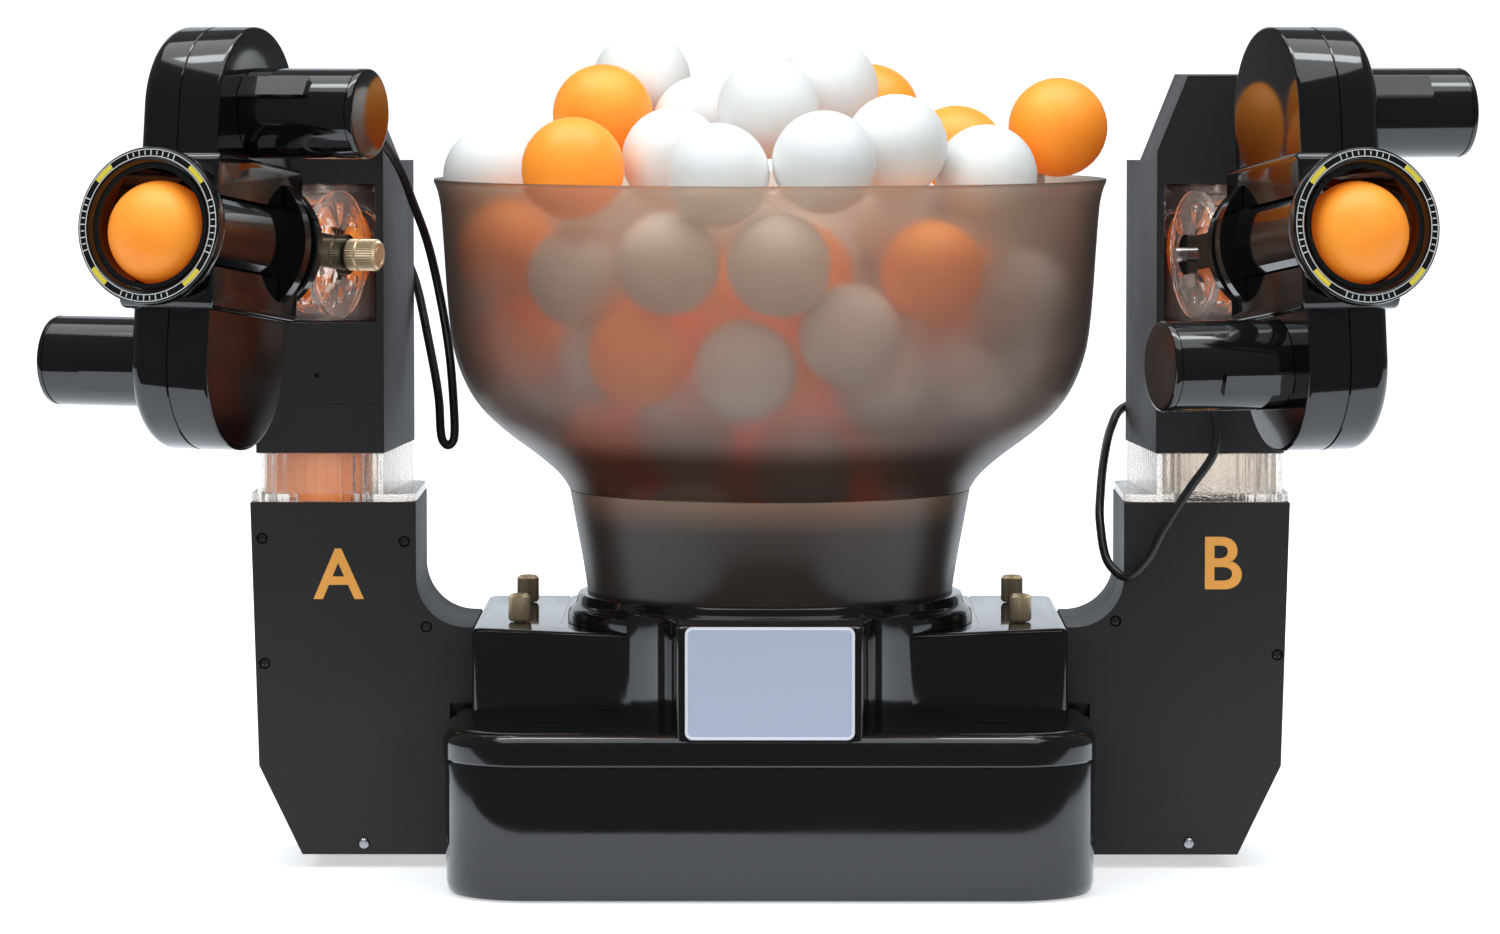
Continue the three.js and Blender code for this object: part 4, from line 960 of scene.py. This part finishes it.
def casing_front(holes):
    whole = prism(casing_outline(), front_face, seam_y - seam_half, "XZ")
    room = prism(casing_outline(casing_wall), front_face + casing_wall, seam_y + 2, "XZ")
    lean = prism([(-17, 41), (-15, 41), (-12.9, 4.7), (-17, 4.7)], 120, 208, "YZ")
    return cut(whole, room, lean, *ball_way(), *face_holes(2.3, holes, 28))


def casing_back():
    whole = prism(casing_outline(), seam_y + seam_half, back_face, "XZ")
    room = prism(casing_outline(casing_wall), seam_y - 2, back_face - casing_wall, "XZ")
    return cut(whole, room, *ball_way())


def screw_head(radius, y):
    """A small screw head facing -Y with a cross slot."""
    head = along_y(revolve([(0, 0.2), (radius, 0.2), (radius, -0.6), (radius * 0.8, -1.0), (0, -1.2)], 28))
    long, narrow, deep = (-radius * 0.75, radius * 0.75), (-0.3, 0.3), (-1.6, -0.5)
    head = cut(head, block(long, deep, narrow), block(narrow, deep, long))
    return moved(head, Matrix.Translation((0, y, 0)))


for side, sign in arm_signs.items():
    holes = []
    for x, z in (face_point(px, py) for px, py in screw_pixels[side]):
        holes.append((min(abs(x), 202.3), max(z, 9.5)))
    for half, shape in (("front", casing_front(holes)), ("back", casing_back())):
        finished(f"casing_{half}_shell_{side}", shape, satin_black, "base", f"casing_{half}_{side}",
                 arm_place(sign), edge=1.1, steps=3)
    for i, (x, z) in enumerate(holes):
        foot_screw = z < 20
        head = screw_head(2.0, front_face + (1.6 if foot_screw else 2.0))
        material = steel if foot_screw else cable_black
        place = Matrix.Translation((sign * x, 0, z))
        finished(f"casing_screw_{side}_{i}", head, material, "base", place=place)
print("casings and their screws")

# %% The letters on the casings
letters = {"a": ("A", 337, 574.5, 20.2), "b": ("B", 1225, 563.5, 21.0)}
capital_share = 0.7
letter_boldness, letter_relief, letter_lift = 0.45, 0.11, 0.1
for side, (mark, px, py, tall) in letters.items():
    text = bpy.data.curves.new(f"letter_{side}", "FONT")
    text.body = mark
    text.size = tall / capital_share
    text.offset = letter_boldness
    text.extrude = letter_relief
    text.align_x = "CENTER"
    text.align_y = "CENTER"
    holder = bpy.data.objects.new("letter", text)
    scene.collection.objects.link(holder)
    bpy.context.view_layer.update()
    bm = bmesh.new()
    bm.from_mesh(holder.evaluated_get(bpy.context.evaluated_depsgraph_get()).to_mesh())
    bpy.data.objects.remove(holder)
    low = [min(v.co[k] for v in bm.verts) for k in (0, 1)]
    high = [max(v.co[k] for v in bm.verts) for k in (0, 1)]
    scale = tall / (high[1] - low[1])
    to_middle = Matrix.Translation((-(low[0] + high[0]) / 2, -(low[1] + high[1]) / 2, 0))
    x, z = face_point(px, py)
    stand_up = Matrix.Translation((x, front_face - letter_lift, z)) @ Matrix.Rotation(math.pi / 2, 4, "X")
    place = stand_up @ Matrix.Scale(scale, 4) @ to_middle
    finished(f"letter_mark_{side}", bm, letter_paint, "base", place=place)
    print("letter", mark, "width mm", round((high[0] - low[0]) * scale, 1))

# %% The clear blocks
block_low, block_rise, block_top = 146.6, 149.6, 165.8


def column_plan(inset, near, far):
    """A column's outline from above: its inner side leans in towards the back."""
    lean = (146 - 153.5) / 80

    def inner(y):
        return 153.5 + lean * (y - front_face) + inset

    return [(inner(near), near), (204.5 - inset, near), (204.5 - inset, far), (inner(far), far)]


def upright(radius, low, high):
    """A rod along the ball's upright way through an arm."""
    return rod(radius, (way_x, way_y, low), (way_x, way_y, high), 64)


def clear_block():
    flange = prism(rounded((141, 207), (front_face, back_face), 9, 10), block_low, block_rise)
    wall = cut(prism(column_plan(0.6, -14.4, 64.4), block_low, block_top),
               prism(column_plan(3.1, -11.9, 61.9), block_low - 2, block_top + 2))
    ribs = []
    for x, y in (((178.2, 179.8), (10, 62.2)), ((153.5, 202), (25, 26.6)), ((160, 161.2), (-13, -3)),
                 ((197, 198.2), (-13, -3))):
        ribs.append(block(x, y, (block_low, block_top)))
    body = join(flange, wall, upright(tube_radius, block_low, block_top), *ribs)
    return cut(body, upright(way_radius, 140, 170))


for side, sign in arm_signs.items():
    finished(f"clear_block_body_{side}", clear_block(), clear_plastic, "base", f"clear_block_{side}",
             arm_place(sign), edge=0.45, steps=2)
ball_in_block = ball_mesh(drawn_radius, (-way_x, way_y, 156.5))
finished("ball_in_block_a", ball_in_block, ball_orange, "base")
print("clear blocks")

# %% The columns
recess_low, recess_high, column_low, column_high = 218.0, 273.0, 166.1, 316.0
column_wall = 2.9
column_pins = {"a": [(369, 86), (316, 375)], "b": []}


def chamfer_tool(shift=0.0):
    """Cuts the slant from a column's inner top edge, or from its hollow when shifted by the wall."""
    start = column_high - 35
    points = [(144, start), (151.5, start), (165.5, column_high), (165.5, 320), (144, 320)]
    return moved(prism(points, -20, 70, "XZ"), Matrix.Translation((shift, 0, -shift)))


def column_front(holes):
    inner_plan = column_plan(column_wall, -12.1, 52)
    outer = prism(column_plan(0, front_face, 50), column_low, column_high)
    lower = prism(inner_plan, column_low + column_wall, recess_low - 3)
    upper = cut(prism(inner_plan, recess_high + 3, column_high - column_wall), chamfer_tool(column_wall))
    pocket = block((156.4, 201.6), (-17, 40), (recess_low, recess_high))
    window = block((179, 207), (-17, 20), (recess_low, recess_high))
    way = cut(upright(tube_radius, column_low, recess_low),
              block((150, 205), (-20, 60), (recess_low, recess_high)))
    ledge = block((152, 206), (-15.6, -14.75), (185.4, 185.8))
    body = join(cut(outer, lower, upper, join(pocket, window)), way)
    return cut(body, upright(way_radius, 160, 220), chamfer_tool(), ledge, *face_holes(1.0, holes, 20))


def column_back():
    outer = prism(column_plan(0, 50.3, back_face), column_low, column_high)
    hollow = prism(column_plan(column_wall, 48, 62.1), column_low + column_wall, column_high - column_wall)
    vents = [block((165, 193), (60, 70), (z - 1.2, z + 1.2)) for z in (285, 290, 295, 300)]
    return cut(outer, cut(hollow, chamfer_tool(column_wall)), chamfer_tool(), *vents)


for side, sign in arm_signs.items():
    holes = [(abs(x), z) for x, z in (face_point(px, py) for px, py in column_pins[side])]
    for half, part, shape in (("body", "column", column_front(holes)), ("lid", "column_back", column_back())):
        finished(f"column_{half}_{side}", shape, satin_black, "base", f"{part}_{side}",
                 arm_place(sign), edge=0.8, steps=2)
print("columns")

# %% [markdown]
# A cable hangs in a loop beside each column. It is a real cord: one smooth curve that leaves through the
# column's front, runs down its inner side and comes up again to enter the column's back.

# %% The cables
cable_points = {
    "a": [
        (-165, -15.3, 302), (-164.8, -18.8, 301.8), (-163, -21.4, 300), (-160, -22.3, 297),
        (-152, -20, 288), (-147, -12, 279), (-143, 3, 266), (-138, 20, 249), (-134, 34, 228),
        (-130.5, 42, 204), (-129, 45, 184), (-128.6, 46, 170), (-129.2, 46.2, 166.8), (-131.3, 46.5, 165),
        (-133.4, 46.8, 166.8), (-134.2, 47.2, 170), (-135.2, 50, 184), (-140, 60, 208), (-146, 70, 232),
        (-151, 71.6, 243), (-153.7, 70.9, 246), (-155, 68.6, 247), (-155, 65.3, 247),
    ],
    "b": [
        (175, -15.3, 191), (175, -18.8, 190.8), (175.2, -21.6, 189), (175.5, -22.8, 186), (177, -23, 178),
        (176, -24, 167), (166, -24, 152), (156, -24, 136), (150, -22, 124), (142, -19, 117),
        (135, -14, 122), (132, -5, 137), (133, 10, 150), (136, 35, 163), (140, 60, 172), (144, 70, 178),
        (150, 72, 181), (153, 71, 181.8), (154, 68.4, 182), (154, 65.3, 182),
    ],
}
cable_radius = 1.8


def between(first, last, start, end, now):
    """The point between two others that a time between their times gives."""
    return first * ((end - now) / (end - start)) + last * ((now - start) / (end - start))


def smooth_route(points, share=8):
    """Puts points along a smooth curve that runs through every point of the route."""
    knots = [Vector(p) for p in points]
    ends = [knots[0] * 2 - knots[1], *knots, knots[-1] * 2 - knots[-2]]
    route = []
    for p0, p1, p2, p3 in zip(ends, ends[1:], ends[2:], ends[3:]):
        times = [0.0]
        for a, b in ((p0, p1), (p1, p2), (p2, p3)):
            times.append(times[-1] + max((b - a).length, 1e-6) ** 0.5)
        t0, t1, t2, t3 = times
        for i in range(share):
            t = t1 + (t2 - t1) * i / share
            a1 = between(p0, p1, t0, t1, t)
            a2 = between(p1, p2, t1, t2, t)
            a3 = between(p2, p3, t2, t3, t)
            b1 = between(a1, a2, t0, t2, t)
            b2 = between(a2, a3, t1, t3, t)
            route.append(between(b1, b2, t1, t2, t))
    return route + [knots[-1]]


for side, points in cable_points.items():
    route = smooth_route(points)
    curve = bpy.data.curves.new(f"cable_run_{side}", "CURVE")
    curve.dimensions = "3D"
    curve.bevel_depth = cable_radius * MM
    curve.bevel_resolution = 6
    spline = curve.splines.new("POLY")
    spline.points.add(len(route) - 1)
    for point, place in zip(spline.points, route):
        point.co = (*(place * MM), 1)
    curve.materials.append(cable_black)
    cable = bpy.data.objects.new(f"cable_run_{side}", curve)
    scene.collection.objects.link(cable)
    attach(cable, "base")
    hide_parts(f"cable_{side}")

# %% [markdown]
# A head hangs on its arm by a clear elbow. The elbow turns on the arm, the collar tilts on the elbow's round
# cheeks, and the barrel with its wheels rolls in the collar. Every piece is drawn with the barrel
# along -Y from the arm's turning axis, and then carried to its place by the same moves as in the model.

# %% Where each head stands
pivot = -30.0
lean_up = 7.0
turning_height = 245.5
head_data = {"a": {"sign": -1, "yaw": -22.0}, "b": {"sign": 1, "yaw": 18.0}}
turned_over = Matrix.Rotation(math.pi, 4, "Y")


def elbow_place(side):
    data = head_data[side]
    arm_axis = Matrix.Translation((data["sign"] * way_x, way_y, turning_height))
    return arm_axis @ Matrix.Rotation(math.radians(data["yaw"]), 4, "Z")


def head_place(side):
    tilt = Matrix.Rotation(math.radians(-lean_up), 4, "X")
    return elbow_place(side) @ Matrix.Translation((0, pivot, 0)) @ tilt @ Matrix.Translation((0, -pivot, 0))


def wheel_places(side):
    """The upper wheel's place in a head and the lower one's, which is the same turned over."""
    return (("upper", head_place(side)), ("lower", head_place(side) @ turned_over))


def cross_rod(radius, x0, x1, y, z, steps=64):
    return rod(radius, (x0, y, z), (x1, y, z), steps)


def pivot_rod(radius, x0, x1, steps):
    """A rod along the pin that a head tilts on."""
    return cross_rod(radius, x0, x1, pivot, 0, steps)


print("heads", len(head_data))

# %% [markdown]
# The elbow is one clear moulding: a short upright tube, a spout towards the barrel and a round cheek on each
# side that the tilt pin runs through. Ribs and small bosses break up the light as they do in the real one.

# %% The elbows
cheek_radius, cheek_inner, cheek_outer = 25.2, 19.6, 22.0
hub_radius, hub_half = 22, 26.8
boss_circle = 18
boss_angles = [math.radians(angle) for angle in (35, 90, 145, 215, 270, 325)]
pin_radius, pin_room = 2.6, 2.9


def elbow_cheek(sign):
    near, far = sign * cheek_inner, sign * cheek_outer
    plate = pivot_rod(cheek_radius, near, far, 96)
    groove = cut(pivot_rod(cheek_radius - 1.6, far - sign * 0.7, far + sign, 96),
                 pivot_rod(cheek_radius - 3.2, far - sign * 3, far + sign * 3, 96))
    bosses, pits = [], []
    for a in boss_angles:
        y, z = pivot + boss_circle * math.cos(a), boss_circle * math.sin(a)
        bosses.append(cross_rod(2.6, near, far, y, z, 24))
        pits.append(cross_rod(1.5, sign * 21.0, sign * 24, y, z, 20))
    return cut(join(plate, *bosses), groove, *pits)


def elbow_body():
    hub = rod(hub_radius, (0, 0, -hub_half), (0, 0, hub_half), 80)
    spout = rod(hub_radius, (0, 0, 0), (0, -42, 0), 80)
    lids = [rod(hub_radius + 0.3, (0, 0, s * 24.2), (0, 0, s * hub_half), 80) for s in (-1, 1)]
    ribs = []
    for x in (-19.4, -11, 0, 11, 19.4):
        rib = block((x - 0.8, x + 0.8), (-50, -3), (-23, 23))
        ribs.append(combine(rib, "INTERSECT", [pivot_rod(cheek_radius - 0.4, -25, 25, 64)]))
    bore = [rod(way_radius, (0, 0, -30), (0, 0, 0), 64), ball_mesh(way_radius, (0, 0, 0), 64),
            rod(way_radius, (0, 0, 0), (0, -60, 0), 64)]
    window = rod(14, (0, 0, 24), (0, 0, 30), 48)
    body = join(hub, spout, *lids, *ribs, elbow_cheek(-1), elbow_cheek(1))
    return cut(body, *bore, pivot_rod(pin_room, -30, 30, 32), window)


for side in head_data:
    elbow, place = f"elbow_{side}", elbow_place(side)
    finished(f"elbow_body_{side}", elbow_body(), clear_elbow, elbow, elbow, place, crease=35)
    finished(f"ball_in_elbow_{side}", ball_mesh(drawn_radius, (0, -1, 0)), ball_orange, elbow, place=place)
print("elbows")

# %% [markdown]
# The collar and the barrel are turned black parts. Two flats run along each side of the barrel, and two guard
# arcs stand up beside the wheel housings. The collar holds the tilt pin in two small arms.

# %% The collars and lock nuts
collar_back, collar_front, collar_sleeve = -55.5, -58.0, -60.7
collar_radius, collar_inside, sleeve_inside = 27, 20.7, 24.3
arm_inner, arm_outer = 22.4, 25.4
nut_start = 25.7


def collar_body():
    flange = [(collar_inside, collar_front), (26.4, collar_front), (collar_radius, collar_front + 0.5),
              (collar_radius, collar_back - 0.5), (26.5, collar_back), (collar_inside, collar_back)]
    sleeve = [(sleeve_inside, collar_sleeve), (26.4, collar_sleeve), (collar_radius, collar_sleeve + 0.5),
              (collar_radius, -56.5), (sleeve_inside, -56.5)]
    room = rod(sleeve_inside, (0, collar_front, 0), (0, -70, 0), 96)
    arms = []
    for near, far in ((-arm_inner, -arm_outer), (arm_inner, arm_outer)):
        boss = pivot_rod(8.0, near, far, 48)
        bar = block((min(near, far), max(near, far)), (collar_back - 0.3, pivot), (-6.5, 6.5))
        arms.append(join(boss, bar))
    pin = pivot_rod(pin_radius, -arm_outer, -collar_inside, 32)
    rings = join(along_y(revolve(flange, 96)), cut(along_y(revolve(sleeve, 96)), room), *arms, pin)
    return cut(rings, pivot_rod(pin_room, 20, 27, 32))


def ring_tool(inner, outer, low, high, steps):
    """A ring round X that cuts a groove into the lock nut."""
    solid = revolve([(0, low), (outer, low), (outer, high), (0, high)], steps)
    hole = revolve([(0, low - 0.4), (inner, low - 0.4), (inner, high + 0.6), (0, high + 0.6)], steps)
    return along_x(cut(solid, hole), (nut_start, 0, 0))


def lock_nut():
    knob = along_x(knurled(6.25, 0, 13.5, 40, 0.4, 1.0), (nut_start, 0, 0))
    grooves = [ring_tool(5.7, 7, 4.4, 5.4, 64), ring_tool(3.2, 4.2, 13.1, 15, 48)]
    return join(cut(knob, *grooves), rod(pin_radius, (collar_inside, 0, 0), (27, 0, 0), 32))


for side in head_data:
    collar, nut = f"collar_{side}", f"lock_nut_{side}"
    nut_place = head_place(side) @ Matrix.Translation((0, pivot, 0))
    finished(f"collar_body_{side}", collar_body(), gloss_black, collar, collar,
             head_place(side), edge=0.35, steps=2)
    finished(f"lock_nut_knob_{side}", lock_nut(), brass, nut, nut, nut_place)
print("collars and lock nuts")

# %% The barrels
wheel_y, wheel_z = -98.0, 48.5
barrel_back, barrel_front = -58.3, -149.6
barrel_radius, barrel_inside = 24, 22
well_radius = 31
guard_back, guard_front = -73.5, -78.5


def barrel_body():
    outer = rod(barrel_radius, (0, barrel_back, 0), (0, barrel_front, 0), 128)
    inner = rod(barrel_inside, (0, -50, 0), (0, -155, 0), 128)
    wells = [cross_rod(well_radius, -12, 12, wheel_y, s * wheel_z, 96) for s in (-1, 1)]
    flats = []
    for angle in (42, 138, 222, 318):
        slab = block((23.0, 30), (-136, -84), (-12, 12))
        flats.append(moved(slab, Matrix.Rotation(math.radians(-angle), 4, "Y")))
    guard = cut(rod(30.5, (0, guard_back, 0), (0, guard_front, 0), 128),
                rod(23.5, (0, -70, 0), (0, -80, 0), 96), block((-20.3, 20.3), (-80, -70), (-40, 40)))
    return cut(join(cut(outer, *flats), guard), inner, *wells)


for side in head_data:
    finished(f"barrel_body_{side}", barrel_body(), gloss_black, f"head_{side}", f"barrel_{side}",
             head_place(side), edge=0.3, steps=2, crease=24)
print("barrels")

# %% [markdown]
# The mouth ring is turned with a fine rim. Its printed scale is thin paint on the face: two pale circles,
# four yellow bars at the diagonals and plain ticks between them.

# %% The mouth rings
face_y = -151.8
bar_middle = 27.65


def face_strip(radius, width, start, end, lift, steps=96):
    """A flat strip of paint along an arc on the ring's face."""
    bm = bmesh.new()
    rows = []
    edges = (radius - width / 2, radius + width / 2)
    section = [(r, y) for r in edges for y in (face_y + 0.02, face_y - lift)]
    for i in range(steps + 1):
        a = math.radians(start + (end - start) * i / steps)
        rows.append([bm.verts.new((r * math.cos(a), y, r * math.sin(a))) for r, y in section])
    for a, b in zip(rows, rows[1:]):
        for i, j in ((0, 1), (1, 3), (3, 2), (2, 0)):
            bm.faces.new((a[i], a[j], b[j], b[i]))
    if end - start < 360:
        bm.faces.new(rows[0][k] for k in (0, 1, 3, 2))
        bm.faces.new(rows[-1][k] for k in (0, 1, 3, 2))
    bmesh.ops.remove_doubles(bm, verts=bm.verts, dist=0.0001)
    bmesh.ops.recalc_face_normals(bm, faces=bm.faces)
    return bm


def merged(pieces):
    whole = pieces[0]
    for other in pieces[1:]:
        mesh = bpy.data.meshes.new("scratch")
        other.to_mesh(mesh)
        other.free()
        whole.from_mesh(mesh)
        bpy.data.meshes.remove(mesh)
    return whole


ring_profile = [(24.3, -141), (27, -141), (27.4, -142.2), (29.4, -145.2), (30, -146.2), (30, -150.9),
                (29.7, -151.5), (29.2, face_y), (26.1, face_y), (25.6, -151.5), (25.5, -151), (24.3, -149.6)]


def tick_marks():
    """Nine plain ticks in each quarter, every second one longer."""
    marks = []
    for middle in (90, 180, 270, 0):
        for k in range(-4, 5):
            start = middle + k * 5.2 - 0.45
            marks.append(face_strip(bar_middle, 1.5 if k % 2 else 2.1, start, start + 0.9, 0.07, 4))
    return merged(marks)


for side in head_data:
    place, body = head_place(side), f"head_{side}"
    ring = along_y(revolve(ring_profile, 144))
    finished(f"mouth_ring_body_{side}", ring, gloss_black, body, f"mouth_ring_{side}", place)
    lines = merged([face_strip(radius, 0.35, 0, 360, 0.08, 144) for radius in (28.95, 26.35)])
    bars = merged([face_strip(bar_middle, 1.9, a - 8.5, a + 8.5, 0.09, 24) for a in (45, 135, 225, 315)])
    finished(f"ring_lines_{side}", lines, white_paint, body, place=place)
    finished(f"ring_bars_{side}", bars, yellow_paint, body, place=place)
    finished(f"ring_ticks_{side}", tick_marks(), white_paint, body, place=place)
    mouth_ball = ball_mesh(drawn_radius, (0, -141, -1.95))
    finished(f"ball_in_mouth_{side}", mouth_ball, ball_orange, body, place=place)
print("mouth rings")

# %% [markdown]
# A wheel housing closes in two halves round the wheel and saddles the barrel. The outside of each half
# is rounded like a bar of soap and shines, and a fine parting line runs over the top between the halves.

# %% The wheel housings
housing_radius, housing_outer, housing_foot, half_gap = 33.3, 17, 14.0, 0.12
saddle_half, saddle_heights = 37, (10, 30)
well_half = 12.5
eye_y, eye_z = -60, 36


def housing_outline(inset):
    """The housing's side view as Y and Z: a round top over straight sides."""
    radius = housing_radius - inset
    points = arc((wheel_y, wheel_z), radius, 0, 180, 48)
    return [(wheel_y + radius, housing_foot), *points, (wheel_y - radius, housing_foot)]


def housing_shell(sign, edge):
    """One half as a stack of outlines that pull in towards its outer face."""
    stack = [(half_gap, 0.35), (0.5, 0)]
    stack += [(housing_outer - drop, inset) for inset, drop in round_over(edge, 7)]
    return loft([[(sign * x, y, z) for y, z in housing_outline(inset)] for x, inset in stack])


def saddle_shell(sign):
    """The block under a half that sits on the barrel."""
    rings = []
    for x, inset in ((half_gap, 0), (18.4, 0), (19.3, 0.35), (19.8, 0.9), (20, 1.6)):
        along = (wheel_y - saddle_half + inset, wheel_y + saddle_half - inset)
        points = rounded(along, (saddle_heights[0] + inset, saddle_heights[1] - inset), 4 - inset, 8)
        rings.append([(sign * x, y, z) for y, z in points])
    return loft(rings)


def housing_half(sign, edge):
    ear = cross_rod(6.5, sign * half_gap, sign * 3.5, eye_y, eye_z, 48)
    eye = cross_rod(2.2, -22, 22, eye_y, eye_z, 32)
    cavity = cross_rod(well_radius, -well_half, well_half, wheel_y, wheel_z, 96)
    throat = block((-well_half, well_half), (wheel_y - 17, wheel_y + 17), (0, wheel_z))
    tube = rod(24.3, (0, -40, 0), (0, -160, 0), 96)
    axle = cross_rod(2.9, 0, 20, wheel_y, wheel_z, 32)
    under = block((-30, 30), (-200, 0), (-60, 0.3))
    whole = join(housing_shell(sign, edge), saddle_shell(sign), ear)
    return cut(whole, cavity, throat, tube, eye, axle, under)


for side, data in head_data.items():
    for where, place in wheel_places(side):
        flip = 1 if where == "upper" else -1
        for hand, sign in (("right", 1), ("left", -1)):
            shape = housing_half(sign * flip, 6.0 if sign * data["sign"] > 0 else 1.3)
            finished(f"{where}_housing_{hand}_body_{side}", shape, gloss_black, f"head_{side}",
                     f"{where}_housing_{hand}_{side}", place, crease=28)
print("wheel housings")

# %% [markdown]
# Each wheel has a brick-coloured rubber tyre on a thin web. Its motor is a black can with a flat, mirror-like
# end cap, a dark seam before the cap, and a raised bar along the side that the screws run in.

# %% The wheels and motors
can_start, can_end, can_radius, seam_radius = 17.3, 65.15, 17.4, 17.05
bar_turn = 62
wheel_profile = [(0, -10), (2.5, -10), (2.5, -3), (23, -3), (23, -9.4), (23.6, -10), (28.2, -10), (29, -9.2),
                 (29, -3.5), (28.6, -3), (28.6, 3), (29, 3.5), (29, 9.2), (28.2, 10), (23.6, 10), (23, 9.4),
                 (23, 3), (2.5, 3), (2.5, 17), (0, 17)]
cap_steps = [(can_radius, 3.1), (seam_radius, 2.9), (seam_radius, 2.5), (can_radius, 2.3), (can_radius, 1.2),
             (17.1, 0.5), (16.3, 0.05), (15.8, 0), (0, 0)]


def motor_can():
    profile = [(0, can_start), (can_radius, can_start)] + [(r, can_end - back) for r, back in cap_steps]
    bar = prism([(-5, 14), (-4.2, 19.2), (4.2, 19.2), (5, 14)], can_start, can_start + 28, "YZ")
    bar = moved(bar, Matrix.Rotation(math.radians(bar_turn), 4, "X"))
    return moved(join(along_x(revolve(profile, 96)), bar), Matrix.Translation((0, wheel_y, wheel_z)))


for side in head_data:
    for where, place in wheel_places(side):
        wheel = f"{where}_wheel_{side}"
        tyre = along_x(revolve(wheel_profile, 96), (0, wheel_y, wheel_z))
        finished(f"{where}_tyre_{side}", tyre, tyre_rubber, wheel, wheel, place)
        finished(f"{where}_motor_can_{side}", motor_can(), gloss_black, f"head_{side}",
                 f"{where}_motor_{side}", place, crease=28)
print("wheels and motors")

# %% [markdown]
# What stays mostly hidden keeps the model's own solids: the feed disc and its gears, the motor, the
# ducts, the strips and the inlet. Each gets the finish of what it is made of.

# %% Finishes of the model's own solids
own_finishes = [
    (satin_black, ("feed_disc", "base_duct_a", "base_duct_b", "arm_tube_a", "arm_tube_b")),
    (gloss_black, ("power_inlet",)),
    (rubber_black, ("rubber_strip_a", "rubber_strip_b")),
    (nylon, ("feed_gear",)),
    (steel, ("feed_pinion", "feed_motor")),
]
for material, names in own_finishes:
    for name in names:
        bpy.data.objects[name].data.materials.clear()
        bpy.data.objects[name].data.materials.append(material)
print("own solids", sum(len(names) for _, names in own_finishes))
